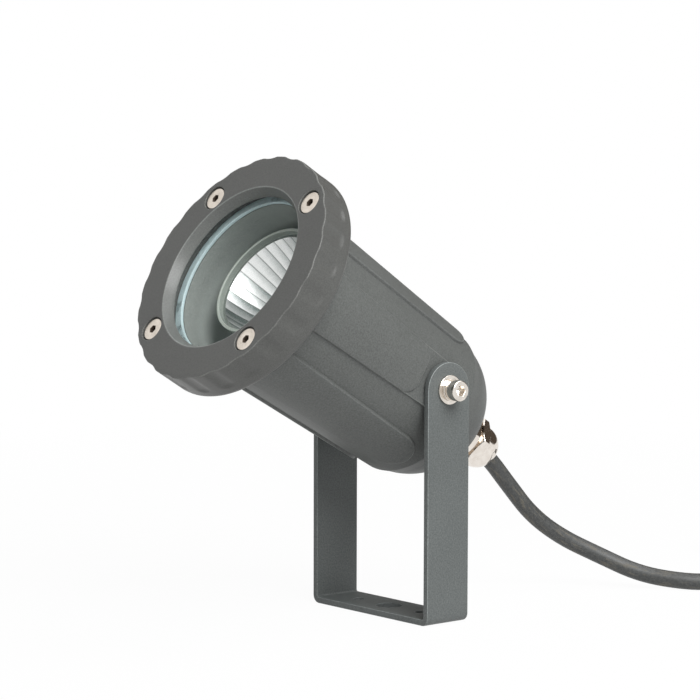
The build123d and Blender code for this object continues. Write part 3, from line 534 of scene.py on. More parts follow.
finish = dict(
    powder=powderCoat(
        "sandedPowderCoat", (0.074, 0.078, 0.075), (0.114, 0.12, 0.115), 1500, 0.08, 0.5, 0.35,
    ),
    bezel=powderCoat(
        "bezelPowderCoat", (0.069, 0.07, 0.067), (0.096, 0.098, 0.093), 1900, 0.05, 0.4, 0.6,
    ),
    # the throat: the bezel's coat painted paler, a painted sheen where the light glances off it
    throat=powderCoat(
        "throatPowderCoat", (0.114, 0.12, 0.114), (0.157, 0.164, 0.157), 1900, 0.03, 0.34, 0.6,
    ),
    # the inside wall, painted paler as painted light
    inside=castInside("castInside"),
    bracket=powderCoat(
        "bracketPowderCoat", (0.079, 0.087, 0.085), (0.127, 0.138, 0.136), 1500, 0.08, 0.5, 0.6,
    ),
    stainless=brightMetal("turnedStainless", (0.76, 0.69, 0.61), (0.6, 0.54, 0.47), 0.3, 0.02),
    polished=brightMetal("polishedStainless", (0.8, 0.75, 0.69), (0.66, 0.61, 0.55), 0.14, 0.01),
    # the bezel screws' hexagon sockets, painted dark brown as painted shade and dark reflection in the
    # recess
    socketShade=moulded("socketGrime", (0.075, 0.055, 0.04), 0.5, 900, 0.03),
    nickel=brightMetal("nickelPlate", (0.84, 0.79, 0.73), (0.72, 0.66, 0.6), 0.13, 0.005),
    glass=clearGlass("frontGlass", (0.4, 0.5, 0.48), 0.04, 0.4),
    cover=clearGlass("lampCoverGlass", (0.4, 0.48, 0.45), 0.03, 0.35),
    silicone=moulded("paleSilicone", (0.66, 0.83, 0.85), 0.45, 900, 0.03),
    ceramic=moulded("holderCeramic", (0.72, 0.69, 0.62), 0.35, 700, 0.03),
    strap=brightMetal("strapAluminium", (0.72, 0.73, 0.74), (0.6, 0.61, 0.62), 0.36, 0.03),
    brass=brightMetal("terminalBrass", (0.78, 0.58, 0.27), (0.6, 0.42, 0.18), 0.3, 0.02),
    terminal=moulded("terminalPlastic", (0.75, 0.75, 0.72), 0.4, 800, 0.03),
    rubber=moulded("blackRubber", (0.03, 0.031, 0.032), 0.6, 1100, 0.05),
    fibre=moulded("fibreWasher", (0.2, 0.07, 0.045), 0.7, 1600, 0.05),
    brown=moulded("brownInsulation", (0.17, 0.065, 0.03), 0.42, 900, 0.02),
    blue=moulded("blueInsulation", (0.02, 0.11, 0.36), 0.42, 900, 0.02),
    earth=stripedSheath("earthInsulation", (0.03, 0.2, 0.04), (0.62, 0.52, 0.03), 60),
    copper=brightMetal("tinnedCopper", (0.78, 0.76, 0.73), (0.62, 0.58, 0.53), 0.3, 0.02),
    tie=moulded("tiePlastic", (0.04, 0.04, 0.042), 0.4, 700, 0.02),
    flex=rubberFlex("rubberFlex"),
    burner=moulded("burnerGlass", (0.8, 0.82, 0.8), 0.12, 200, 0.01),
)
print("finishes made:", len(finish))


# Cable: from the gland to the floor, into a tied coil, and out to a bare end
cable = dict(
    diameter=7.3,
    gripStation=-44.59, exitRun=17.8, settleRun=85.0,
    lead=[(0, 68.3, 47.6), (1, 81.3, 33.2), (6, 95, 22.5), (15, 108.5, 14.6), (28, 121.5, 6.2)],
    floor=[
        (44, 133, 3.65), (53.5, 143.6, 3.65), (60.2, 156.1, 3.65), (63.6, 169.9, 3.65), (64.1, 184.1, 3.65),
        (62.9, 198.2, 3.65), (60.9, 212.3, 3.65), (59.9, 226.5, 4.65), (60.6, 240.7, 4.65),
    ],
    coilRadius=45.0, coilTurns=3, coilPitch=7.9, layerPitch=7.9, climbTurns=0.5, pointsPerTurn=20,
    tail=[(0, 0, 0), (12, 0, 0), (25, 1.8, 0.3), (37.5, 7, 0.8), (47.5, 14.5, 1), (55, 24, 1)],
    sides=24, stepsPerPoint=6,
)


# a level heading turned a quarter to the left
def leftOf(heading):
    return np.array([-heading[1], heading[0], 0])


# the coil's turns: the radius steps in by a pitch each turn to half way and out again,
# and the height climbs one layer on half a cosine wave round the middle
def coilPoints(start, heading):
    centre = start + leftOf(heading) * cable["coilRadius"]
    startAngle = math.atan2(*(start - centre)[1::-1])
    half = cable["coilTurns"] / 2
    turns = np.linspace(0, cable["coilTurns"], round(cable["coilTurns"] * cable["pointsPerTurn"]) + 1)
    radius = cable["coilRadius"] - cable["coilPitch"] * (half - np.abs(turns - half))
    climb = np.clip((turns - half) / cable["climbTurns"] + 0.5, 0, 1)
    height = cable["layerPitch"] * (1 - np.cos(math.pi * climb)) / 2
    angle = startAngle + 2 * math.pi * turns
    ring = np.stack([radius * np.cos(angle), radius * np.sin(angle), height], 1)
    return centre + ring, centre, startAngle


# the free end: steps ahead and to the left of the coil's end, with its share of the fall to the floor
def tailPoints(end, heading):
    ahead, aside, fall = np.array(cable["tail"], float).T[:, :, None]
    floorHeight = cable["diameter"] / 2
    return end + ahead * heading + aside * leftOf(heading) - fall * np.array([0, 0, end[2] - floorHeight])


def cableRoute():
    grip = np.array([[0, 0, cable["gripStation"]], [0, 0, cable["gripStation"] - cable["exitRun"]]])
    lead = np.concatenate([onHead(grip), np.array(cable["lead"], float)])
    floor = np.array(cable["floor"], float)
    heading = unit(floor[-1] - floor[-2])
    coil, centre, startAngle = coilPoints(floor[-1] + heading * cable["diameter"], heading)
    outward = unit((coil[-1] - centre) * (1, 1, 0))
    leaving = unit(leftOf(outward) * 2 * math.pi * cable["coilRadius"] + outward * cable["coilPitch"])
    tail = tailPoints(coil[-1] + leaving * cable["diameter"], leaving)
    return np.concatenate([lead, floor, coil, tail]), centre, startAngle


# points of a smooth NURBS line with the route's points as its control points
def splinePoints(name, route, resolution):
    curve = bpy.data.curves.new(name, "CURVE")
    curve.dimensions = "3D"
    spline = curve.splines.new("NURBS")
    spline.points.add(len(route) - 1)
    spline.points.foreach_set("co", np.column_stack([route * mm, np.ones(len(route))]).ravel())
    spline.order_u = 3
    spline.use_endpoint_u = True
    spline.resolution_u = resolution
    holder = addObject(name, curve)
    line = bpy.data.meshes.new_from_object(holder)
    points = np.zeros(len(line.vertices) * 3)
    line.vertices.foreach_get("co", points)
    bpy.data.objects.remove(holder)
    bpy.data.curves.remove(curve)
    bpy.data.meshes.remove(line)
    return points.reshape(-1, 3) / mm


# a round section carried along a path: side is level, rise is square to it and to the path
def tubeSheet(path, radius, sides):
    way = np.gradient(path, axis=0)
    way /= np.linalg.norm(way, axis=1)[:, None]
    side = np.cross(way, [0, 0, 1])
    side /= np.linalg.norm(side, axis=1)[:, None]
    rise = np.cross(side, way)
    angle = roundAngles(sides)
    across = np.cos(angle)[:, None] * side[:, None] + np.sin(angle)[:, None] * rise[:, None]
    return path[:, None] + radius * across


def makeCable():
    route, centre, startAngle = cableRoute()
    path = splinePoints("cableLine", route, cable["stepsPerPoint"])
    sides = cable["sides"]
    tube = capped(tubeSheet(path, cable["diameter"] / 2, sides))
    rows = len(tube)
    mesh = bpy.data.meshes.new("rubberCable")
    quads = gridQuads(rows, sides, True)
    # the end rows are single points, so the cap's quads shut to triangles when doubles merge
    mesh.from_pydata(tube.reshape(-1, 3) * mm, [], quads.tolist())
    run = runAlong(path) * mm
    run = np.concatenate([run[:1], run, run[-1:]])
    row, column = quads // sides, quads % sides
    column = np.where((column == 0) & (np.arange(4) % 3 != 0), sides, column)
    chart = mesh.uv_layers.new(name="cableMap")
    chart.data.foreach_set("uv", np.stack([run[row], column / sides], -1).astype(np.float32).ravel())
    sew(mesh, [finish["flex"]], sewing["tubeSharp"])
    piece = addObject("rubberCable", mesh)
    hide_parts("cable_lead", "cable_floor_run", "cable_coil", "cable_tail")
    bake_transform(piece)
    length = run[-1]
    print("piece rubberCable", len(mesh.polygons), "faces,", round(float(length), 4), "m")
    return piece, path, length, centre, startAngle


rubberCable, cablePath, cableLength, coilCentre, coilStartAngle = makeCable()


# Bezel ring: scalloped side, flat face with four sunk screws, conical throat over the glass
bezel = dict(
    radius=50.4, front=98.8, rear=82.2, frontEdge=0.5, rearEdge=2.4,
    scallops=24, scallopDepth=0.65, grooveRadius=14.0, grooveEnd=89.4, endSteepness=1.8, ridgeSoftness=0.06,
    opening=36.2, openingEdge=0.5, faceInner=36.7, lip=33.9, lipStation=94.2, lipEdge=0.25,
    pocket=37.8, pocketEdge=0.2, rim=88.7, skirt=47.4, skirtEdge=0.3,
    screws=4, screwCircle=42.8, sinkRadius=5.3, sinkEdge=0.15, sinkDepth=1.1,
    coneRadius=4.8, boreRadius=2.75, boreDepth=9.6,
    columns=384, faceRows=10, sideRows=42, edgeRows=6, screwRings=9, rowStep=1.5,
)


# a circle cut by round grooves along the axis: a groove's wall lies at its centre's distance times the
# cosine, less the root of its radius squared less the sine part squared, and its end shrinks as a blunt
# egg; the lesser of circle and groove is taken softly
def scallopedRadius(angle, height):
    period = 2 * math.pi / bezel["scallops"]
    fromValley = ((angle / period) % 1 - 0.5) * period
    distance = bezel["radius"] - bezel["scallopDepth"] + bezel["grooveRadius"]
    pastEnd = np.clip(bezel["grooveEnd"] - height, 0, None) * bezel["endSteepness"]
    inside = bezel["grooveRadius"] ** 2 - pastEnd ** 2 - (distance * np.sin(fromValley)) ** 2
    wall = distance * np.cos(fromValley) - np.sqrt(np.clip(inside, 0, None))
    above = np.where(inside > 0, wall - bezel["radius"], bezel["radius"])
    soft = bezel["ridgeSoftness"]
    return bezel["radius"] - soft * np.log1p(np.exp(-above / soft))


# the face's inner and outer edge over a run of columns
def faceEdges(first, count):
    angle = (first + np.arange(count + 1)) * 2 * math.pi / bezel["columns"]
    ways = waysAt(angle)
    outer = scallopedRadius(angle, bezel["front"]) - bezel["frontEdge"]
    return bezel["faceInner"] * ways, outer[:, None] * ways, ways


# the face between two screws: straight lines from the inner edge to the outer
def plainFace(first, count, share):
    inner, outer, _ = faceEdges(first, count)
    flat = inner * (1 - share[:, None, None]) + outer * share[:, None, None]
    return atHeight(flat, bezel["front"])


# the face round one screw hole: rings from the hole to the cell's edge, and the hole's own wall
def screwFace(first, count, share):
    inner, outer, ways = faceEdges(first, count)
    share = share[1:-1, None]
    spokes = [inner[k] * (1 - share) + outer[k] * share for k in (-1, 0)]
    boundary = np.concatenate([inner, spokes[0], outer[::-1], spokes[1][::-1]])
    centre = bezel["screwCircle"] * ways[count // 2]
    mouth = bezel["sinkRadius"] + bezel["sinkEdge"]
    rings, at = ringsToBoundary(centre, mouth, boundary, bezel["screwRings"])
    face = atHeight(rings, bezel["front"])
    step = bezel["front"] - bezel["sinkDepth"]
    coneEnd = step - bezel["coneRadius"] + bezel["boreRadius"]
    wall = roundedLine([
        (mouth, bezel["front"]),
        (bezel["sinkRadius"], bezel["front"], bezel["sinkEdge"]),
        (bezel["sinkRadius"], step),
        (bezel["coneRadius"], step),
        (bezel["boreRadius"], coneEnd),
        (bezel["boreRadius"], bezel["front"] - bezel["boreDepth"]),
        (0, bezel["front"] - bezel["boreDepth"]),
    ])
    return [(face, True, 0), (holeWall(centre, at, wall), True, 0)]


# side rows follow the scallops, less the rounding at each edge; the inside is a plain turned line
def makeBezel():
    quarter = np.linspace(0, math.pi / 2, bezel["edgeRows"])
    front, rear = bezel["frontEdge"], bezel["rearEdge"]
    side = np.linspace(bezel["front"] - front, bezel["rear"] + rear, bezel["sideRows"])[1:-1]
    inset = np.concatenate([front * (1 - np.sin(quarter)), side * 0, rear * (1 - np.cos(quarter))])
    frontHeight = bezel["front"] - front * (1 - np.cos(quarter))
    height = np.concatenate([frontHeight, side, bezel["rear"] + rear * (1 - np.sin(quarter))])
    outside = scallopedRadius(roundAngles(bezel["columns"])[None], height[:, None]) - inset[:, None]
    inside = roundedLine([
        (bezel["radius"] - rear, bezel["rear"]),
        (bezel["skirt"], bezel["rear"], bezel["skirtEdge"]),
        (bezel["skirt"], bezel["rim"]),
        (bezel["pocket"], bezel["rim"], bezel["pocketEdge"]),
        (bezel["pocket"], bezel["lipStation"]),
        (bezel["lip"], bezel["lipStation"], bezel["lipEdge"]),
        (bezel["opening"], bezel["front"], bezel["openingEdge"]),
        (bezel["faceInner"], bezel["front"]),
    ])
    inside = np.concatenate([inside[:1], finer(inside[1:], bezel["rowStep"])])
    radii = np.concatenate([outside, inside[:, :1] * np.ones(bezel["columns"])])
    whole = roundSheet(radii, np.concatenate([height, inside[:, 1]]))
    throat = len(outside) + np.flatnonzero(inside[:, 1] <= bezel["lipStation"])[-1]
    sheets = [(whole[:throat + 1], True, 0), (whole[throat:], True, 1)]
    cell = bezel["columns"] // (2 * bezel["screws"])
    share = np.linspace(0, 1, bezel["faceRows"])
    for number in range(bezel["screws"]):
        first = 2 * cell * number - cell // 2
        sheets.append((plainFace(first, cell, share), False, 0))
        sheets += screwFace(first + cell, cell, share)
    # the throat's rows take the coat painted paler, as painted sheen
    finishes = [finish["bezel"], finish["throat"]]
    makePiece("bezelRing", sheets, finishes, onHead, "head", "powder_coat", ["bezel_ring"])


makeBezel()


# Bezel screws: flat heads with a hexagon socket, sunk in the face
bezelScrew = dict(
    recess=0.6, headRadius=4.7, headRim=0.5, headEdge=0.18, shankRadius=2.5, length=14.0,
    socketHalf=1.5, socketDepth=1.8, socketEdge=0.12, socketTip=0.5,
    rimEdge=0.1, neckEdge=0.3, tipEdge=0.5,
)


# rows of a screw as (radius, height, hexagon): up its socket from the tip,
# then over the head and down the shank
def socketScrewRows(top, sizes, underHead):
    socket = sizes["socketHalf"]
    edge = sizes["socketEdge"]
    floor = top - sizes["socketDepth"]
    rows = [
        (0, floor - sizes["socketTip"], 0),
        (socket, floor, 1),
        (socket, top - edge, 1),
        (socket + edge, top, 1),
    ]
    rim = roundedLine([(socket + 3 * edge, top), (sizes["headRadius"], top, sizes["headEdge"]), *underHead])
    return rows, rows[-1:] + [(*row, 0) for row in rim]


def makeBezelScrews():
    top = bezel["front"] - bezelScrew["recess"]
    coneTop = top - bezelScrew["headRim"]
    coneEnd = coneTop - bezelScrew["headRadius"] + bezelScrew["shankRadius"]
    tip = top - bezelScrew["length"]
    socket, outside = socketScrewRows(top, bezelScrew, [
        (bezelScrew["headRadius"], coneTop, bezelScrew["rimEdge"]),
        (bezelScrew["shankRadius"], coneEnd, bezelScrew["neckEdge"]),
        (bezelScrew["shankRadius"], tip, bezelScrew["tipEdge"]),
        (0, tip),
    ])
    sheets = []
    for k in range(bezel["screws"]):
        angle = math.pi * (2 * k + 1) / bezel["screws"]
        centre = bezel["screwCircle"] * np.array([math.cos(angle), math.sin(angle), 0])
        sheets += [(turned(outside) + centre, True, 0), (turned(socket) + centre, True, 1)]
    # the sockets' rows take the painted shade
    finishes = [finish["stainless"], finish["socketShade"]]
    makePiece("bezelScrews", sheets, finishes, onHead, "head", "stainless", ["bezel_screws"])


makeBezelScrews()


# Housing: flange, cone with raised panels, shoulder, dome with the gland's seat, and the cavity
housing = dict(
    rim=88.7, flangeRadius=47.0, flangeBack=83.5, flangeEdge=0.4, flangeRoot=0.6,
    coneFront=37.0, coneStation=82.2, draft=3.8, coneLength=97.7,
    shoulder=-15.5, shoulderEdge=0.7, domeStart=-20.5, domeCentre=-13.0, domeRadius=32.2,
    seatRadius=12.7, seatEdge=0.35, glandHole=8.1, glandWall=5.0,
    cavityRear=29.8, cavityRim=34.0,
    pivotSeat=33.503, bossRise=0.2, bossSunk=4.0, seatTop=20.9,
    columns=240, domeRows=30, cavityRows=20, rowStep=3.0, sharp=32,
)
panel = dict(
    count=6, height=1.2, edge=0.4, sunk=0.8, start=83.5,
    frontHalf=13.4, rearHalf=10.6, frontStation=82.2, sideEnd=14.4, sideCorner=6.5,
    sideRows=40, cornerRows=14, edgeRows=5, faceRows=9,
)
ledge = dict(halfWidth=14.0, inner=21.5, outer=31.2, low=3.0, high=13.0, edge=0.5)


# the cone's radius falls in line with the distance behind the bezel
def coneRadius(station):
    behind = (housing["coneStation"] - station) / housing["coneLength"]
    return housing["coneFront"] - housing["draft"] * behind


# an arc about the axis between two heights
def domeArc(radius, firstHeight, lastHeight, steps):
    first, last = (math.asin((h - housing["domeCentre"]) / radius) for h in (firstHeight, lastHeight))
    angle = np.linspace(first, last, steps)
    return np.stack([radius * np.cos(angle), housing["domeCentre"] + radius * np.sin(angle)], 1)


# the body is a turned line, cut where the gland's hole starts into its outside and its inside;
# beside the pivot its radius is held to a flat: seat over the cosine
def bodySheets():
    seat = housing["domeCentre"] - math.sqrt(housing["domeRadius"] ** 2 - housing["seatRadius"] ** 2)
    wall = seat + housing["glandWall"]
    outside = roundedLine([
        (housing["cavityRim"], housing["rim"]),
        (housing["flangeRadius"], housing["rim"], housing["flangeEdge"]),
        (housing["flangeRadius"], housing["flangeBack"], housing["flangeEdge"]),
        (coneRadius(housing["flangeBack"]), housing["flangeBack"], housing["flangeRoot"]),
        (coneRadius(housing["shoulder"]), housing["shoulder"], housing["shoulderEdge"]),
        tuple(domeArc(housing["domeRadius"], housing["domeStart"], seat, 2)[0]),
    ])
    dome = domeArc(housing["domeRadius"], housing["domeStart"], seat, housing["domeRows"])
    inside = np.concatenate([
        [(housing["glandHole"], seat), (housing["glandHole"], wall)],
        domeArc(housing["cavityRear"], wall, housing["domeCentre"], housing["cavityRows"]),
        [(housing["cavityRim"], housing["rim"])],
    ])
    line = finer(np.concatenate([outside, dome[1:], inside]), housing["rowStep"])
    radii = line[:, :1] * np.ones(housing["columns"])
    flatReach = housing["pivotSeat"] - housing["bossRise"]
    flat = flatReach / np.abs(np.cos(roundAngles(housing["columns"])) + 1e-9)
    outer = (line[:, 0] > housing["domeRadius"]) & (line[:, 1] < housing["seatTop"])
    radii = np.where(outer[:, None], np.minimum(radii, flat), radii)
    grid = roundSheet(radii, line[:, 1])
    hole = np.argmin(line[:, 1])
    return [(grid[:hole + 1], True, 0), (grid[hole:], True, 1)]


# outline of a panel seen square on: sides that taper in line, and an end with round corners,
# all drawn in by the inset
def panelOutline(inset, endStation, corner, start):
    slope = (panel["frontHalf"] - panel["rearHalf"]) / panel["frontStation"]
    turnStation = endStation + corner
    station = np.linspace(start, turnStation, panel["sideRows"])
    side = np.stack([panel["rearHalf"] + slope * station - inset, station], 1)
    around = np.linspace(0, math.pi / 2, panel["cornerRows"])[1:]
    reach = corner - inset
    arcMiddle = panel["rearHalf"] + slope * turnStation - corner
    arc = np.stack([arcMiddle + reach * np.cos(around), turnStation - reach * np.sin(around)], 1)
    half = np.concatenate([side, arc])
    return np.concatenate([half, half[::-1] * (-1, 1)]), turnStation


# an outline shrunk towards its middle line: widths by the share, and the end's depth as well
def shrunk(outline, turnStation, share):
    width = outline[:, 0] * (1 - share)
    depth = np.minimum(outline[:, 1] - turnStation, 0) * (1 - share)
    return np.stack([width, np.maximum(outline[:, 1], turnStation) + depth], 1)


# a plate with a rounded rim: rows up its wall, over the rim, and in to the middle line;
# lift turns (outline, height) into points
def plateSheet(lift, endStation, corner, start, height, sunk):
    edge = panel["edge"]
    full, turnStation = panelOutline(0, endStation, corner, start)
    shares = np.linspace(0, 1, panel["faceRows"])
    rows = [lift(shrunk(full, turnStation, share), -sunk) for share in shares[::-1]]
    for around in np.linspace(0, math.pi / 2, panel["edgeRows"]):
        outline, _ = panelOutline(edge * (1 - math.cos(around)), endStation, corner, start)
        rows.append(lift(outline, height - edge * (1 - math.sin(around))))
    top, _ = panelOutline(edge, endStation, corner, start)
    rows += [lift(shrunk(top, turnStation, share), height) for share in shares[1:]]
    return np.stack(rows)


# height over the cone, then turned to the panel's place: x is the root of the radius squared less y squared
def liftOnCone(turn):
    def lift(outline, height):
        radius = coneRadius(outline[:, 1]) + height
        x = np.sqrt(radius ** 2 - outline[:, 0] ** 2)
        y = outline[:, 0]
        return np.stack([
            x * math.cos(turn) - y * math.sin(turn),
            x * math.sin(turn) + y * math.cos(turn),
            outline[:, 1],
        ], 1)
    return lift


# a flat boss facing along X, on the side given by its sign
def liftOnSeat(sign):
    def lift(outline, height):
        x = np.full(len(outline), sign * (housing["pivotSeat"] + height))
        return np.stack([x, sign * outline[:, 0], outline[:, 1]], 1)
    return lift


# a ledge across the cavity, as a rounded rectangle drawn up between two heights
def ledgeSheet(sign):
    corners = np.array([(-1, -1), (1, -1), (1, 1), (-1, 1)])
    middle = sign * (ledge["inner"] + ledge["outer"]) / 2
    halves = np.array([ledge["halfWidth"], (ledge["outer"] - ledge["inner"]) / 2])
    rows = []
    edge, top = ledge["edge"], ledge["high"]
    for inset, height in ((0, ledge["low"]), (0, top - edge), (edge, top)):
        flat = corners * (halves - inset) + (0, middle)
        rows.append(atHeight(flat, height))
    return capped(np.stack(rows))


def makeHousing():
    sheets = bodySheets()
    for k in range(panel["count"]):
        end, corner = -panel["rearHalf"], panel["rearHalf"]
        if k % (panel["count"] // 2) == 0:
            end, corner = panel["sideEnd"], panel["sideCorner"]
        lift = liftOnCone(2 * math.pi * k / panel["count"])
        plate = plateSheet(lift, end, corner, panel["start"], panel["height"], panel["sunk"])
        sheets.append((plate, True, 0))
    for sign in (1, -1):
        lift, half = liftOnSeat(sign), panel["rearHalf"]
        boss = plateSheet(lift, -half, half, housing["seatTop"], 0, housing["bossSunk"])
        sheets += [(boss, True, 0), (ledgeSheet(sign), True, 1)]
    finishes = [finish["powder"], finish["inside"]]
    makePiece("housing", sheets, finishes, onHead, "head", "powder_coat", ["housing"], housing["sharp"])


makeHousing()


# U-bracket: one strip with round ends, bent twice, drilled for the pivot bolts and the base
bracket = dict(
    thickness=2.6, bendRadius=0.8, edge=0.3,
    pivotHole=2.58, baseHole=5.5, screwHole=2.25, screwSpacing=39.0,
    headCell=16.0, screwCell=9.5, acrossPoints=9, endPoints=25, holeRings=8, edgeRows=4,
    runs=[8, 16, 8, 3, 10, 10, 10, 3, 8, 16, 8], nearness=1e-6,
)
bracketHigh = np.array(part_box("u_bracket")[1]) / mm
strip = dict(
    halfWidth=bracketHigh[1],
    middleX=bracketHigh[0] - bracket["thickness"] / 2,
    middleZ=bracket["thickness"] / 2,
    bend=bracket["bendRadius"] + bracket["thickness"] / 2,
)
strip["inner"] = strip["halfWidth"] - bracket["edge"]
strip["across"] = np.linspace(-strip["inner"], strip["inner"], bracket["acrossPoints"])
strip["leg"] = headPose["pivot"][2] - strip["middleZ"] - strip["bend"]
strip["arc"] = strip["bend"] * math.pi / 2
strip["half"] = strip["leg"] + strip["arc"] + strip["middleX"] - strip["bend"]


# the flat strip carried along the U: s runs from one pivot to the other on the strip's middle, w across,
# and t outwards; down the leg, round the bend at the bend's radius plus t, then along the base
def onStrip(s, w, t):
    sign = np.where(s <= strip["half"], 1.0, -1.0)
    fromEnd = np.minimum(s, 2 * strip["half"] - s)
    turn = np.clip((fromEnd - strip["leg"]) / strip["bend"], 0, math.pi / 2)
    along = np.clip(fromEnd - strip["leg"] - strip["arc"], 0, None)
    above = np.clip(strip["leg"] - fromEnd, 0, None)
    reach = strip["bend"] + t
    x = strip["middleX"] - strip["bend"] + reach * np.cos(turn) - along
    z = strip["middleZ"] + strip["bend"] - reach * np.sin(turn) + above
    return np.stack([sign * x, w * np.ones_like(x), z], -1)


# those of the stations that lie between two breaks, with both
def stationsIn(stations, low, high):
    return stations[(stations >= low - bracket["nearness"]) & (stations <= high + bracket["nearness"])]


# a face's cell with a hole: rings out to the cell's edge, where a cell at an end is round
def drilledCell(low, high, holeAt, holeRadius, stations, roundEnd):
    inner, across = strip["inner"], strip["across"]
    inCell = stationsIn(stations, low, high)
    bend = np.linspace(0, math.pi, bracket["endPoints"])
    arc = np.stack([-inner * np.sin(bend), -inner * np.cos(bend)], 1)
    lowEnd = np.stack([np.full(len(across), low), across], 1)
    highEnd = np.stack([np.full(len(across), high), across], 1)
    if roundEnd < 0:
        lowEnd = arc + (low, 0)
    if roundEnd > 0:
        highEnd = arc * (-1, 1) + (high, 0)
    sides = [np.stack([inCell, np.full(len(inCell), w)], 1) for w in (inner, -inner)]
    boundary = np.concatenate([lowEnd[:-1], sides[0][:-1], highEnd[::-1][:-1], sides[1][::-1][:-1]])
    edge = bracket["edge"]
    centre = np.array([holeAt, 0])
    rings, at = ringsToBoundary(centre, holeRadius + edge, boundary, bracket["holeRings"])
    half = bracket["thickness"] / 2
    wall = roundedLine([
        (holeRadius + edge, half),
        (holeRadius, half, edge),
        (holeRadius, -half, edge),
        (holeRadius + edge, -half),
    ], bracket["edgeRows"])
    wall = holeWall(centre, at, wall)
    sheets = [onStrip(rings[..., 0], rings[..., 1], t) for t in (half, -half)]
    sheets.append(onStrip(wall[..., 0], wall[..., 1], wall[..., 2]))
    return [(sheet, True, 0) for sheet in sheets]


# the strip's rim: its outline pushed out as the edge rounds over from one face to the other
def rimSheet(stations):
    inner = strip["inner"]
    full = 2 * strip["half"]
    bend = np.linspace(0, math.pi, bracket["endPoints"])[1:-1]
    cores = np.concatenate([stations, bend * 0 + full, stations[::-1], bend * 0])
    ways = np.concatenate([
        np.stack([stations * 0, stations * 0 + 1], 1),
        np.stack([np.sin(bend), np.cos(bend)], 1),
        np.stack([stations * 0, stations * 0 - 1], 1),
        np.stack([-np.sin(bend), -np.cos(bend)], 1),
    ])
    half = bracket["thickness"] / 2
    rim = roundedLine([
        (inner, half),
        (strip["halfWidth"], half, bracket["edge"]),
        (strip["halfWidth"], -half, bracket["edge"]),
        (inner, -half),
    ])
    s = cores + rim[:, :1] * ways[:, 0]
    return onStrip(s, rim[:, :1] * ways[:, 1], rim[:, 1:])


def makeBracket():
    full = 2 * strip["half"]
    middle = strip["half"]
    hole = bracket["screwSpacing"] / 2
    cell = bracket["screwCell"]
    bendEnd = strip["leg"] + strip["arc"]
    near = [0, bracket["headCell"], strip["leg"], bendEnd, middle - hole - cell, middle - hole + cell]
    breaks = np.array(near + [full - station for station in near[::-1]])
    pieces = [np.linspace(a, b, n + 1)[:-1] for a, b, n in zip(breaks, breaks[1:], bracket["runs"])]
    stations = np.concatenate([*pieces, breaks[-1:]])
    sheets = [(rimSheet(stations), True, 0)]
    drilled = {
        0: (0, "pivotHole", -1), 4: (middle - hole, "screwHole", 0), 5: (middle, "baseHole", 0),
        6: (middle + hole, "screwHole", 0), 10: (full, "pivotHole", 1),
    }
    for k, (holeAt, size, roundEnd) in drilled.items():
        sheets += drilledCell(breaks[k], breaks[k + 1], holeAt, bracket[size], stations, roundEnd)
    for k in (k for k in range(len(bracket["runs"])) if k not in drilled):
        inRun = stationsIn(stations, breaks[k], breaks[k + 1])
        s, w = np.meshgrid(inRun, strip["across"], indexing="ij")
        for t in (bracket["thickness"] / 2, -bracket["thickness"] / 2):
            sheets.append((onStrip(s, w, t), False, 0))
    makePiece("uBracket", sheets, [finish["bracket"]], asMade, "bracket", "bracket_coat", ["u_bracket"])


makeBracket()


# Pivot hardware on both sides: plain washer, split spring washer and socket bolt
pivotSet = dict(
    washerRadius=6.0, washerThickness=1.0, washerEdge=0.2, bore=2.7,
    springRadius=4.6, springThickness=1.3, springGap=1.0, springEdge=0.2, springRise=0.12,
    headRadius=4.25, headHeight=5.0, headEdge=0.55, shankRadius=2.5, shankStart=25.5,
    socketHalf=2.0, socketDepth=2.6, socketEdge=0.18, socketTip=0.6,
    underEdge=0.2, tipEdge=0.5, springColumns=24, springRows=90,
)


# two shapes about Z laid along X, one on each side: the second is a half turn about the head's axis
def onBothSides(points):
    sign = np.where(np.arange(len(points)) < len(points) // 2, 1, -1)
    return onHead(np.stack([sign * points[:, 2], sign * points[:, 0], points[:, 1]], 1))


# a square section with round corners carried nearly round a circle, one end standing higher than the other
def springSheet(low):
    thick = pivotSet["springThickness"]
    half = np.array([(pivotSet["springRadius"] - pivotSet["bore"]) / 2, thick / 2])
    edge = pivotSet["springEdge"]
    around = roundAngles(pivotSet["springColumns"])
    square = np.sign(waysAt(around))
    section = square * (half - edge) + edge * waysAt(around)
    opening = pivotSet["springGap"] / pivotSet["springRadius"]
    angle = np.linspace(opening / 2, 2 * math.pi - opening / 2, pivotSet["springRows"])
    radius = pivotSet["bore"] + half[0] + section[:, 0]
    rise = pivotSet["springRise"] * (angle / math.pi - 1)
    height = low + thick / 2 + section[:, 1] * (1 - pivotSet["springRise"] / thick) + rise[:, None] / 2
    grid = np.stack([radius * np.cos(angle)[:, None], radius * np.sin(angle)[:, None], height], -1)
    return capped(grid)


def makePivotHardware():
    legFace = bracketHigh[0]
    washerEnd = legFace + pivotSet["washerThickness"]
    springEnd = washerEnd + pivotSet["springThickness"]
    bore, edge = pivotSet["bore"], pivotSet["washerEdge"]
    washer = roundedLine([
        (bore, legFace), (pivotSet["washerRadius"], legFace, edge),
        (pivotSet["washerRadius"], washerEnd, edge), (bore, washerEnd), (bore, legFace),
    ])
    socket, outside = socketScrewRows(springEnd + pivotSet["headHeight"], pivotSet, [
        (pivotSet["headRadius"], springEnd, pivotSet["underEdge"]),
        (pivotSet["shankRadius"], springEnd),
        (pivotSet["shankRadius"], pivotSet["shankStart"], pivotSet["tipEdge"]),
        (0, pivotSet["shankStart"]),
    ])
    bolt = socket + outside[1:]
    shapes = dict(
        plainWashers=("plain_washers", turned(washer)),
        springWashers=("spring_washers", springSheet(washerEnd)),
        pivotBolts=("pivot_bolts", turned(bolt)),
    )
    for name, (node, shape) in shapes.items():
        sheets = [(shape, True, 0)] * 2
        makePiece(name, sheets, [finish["polished"]], onBothSides, "head", "stainless", [node])


makePivotHardware()


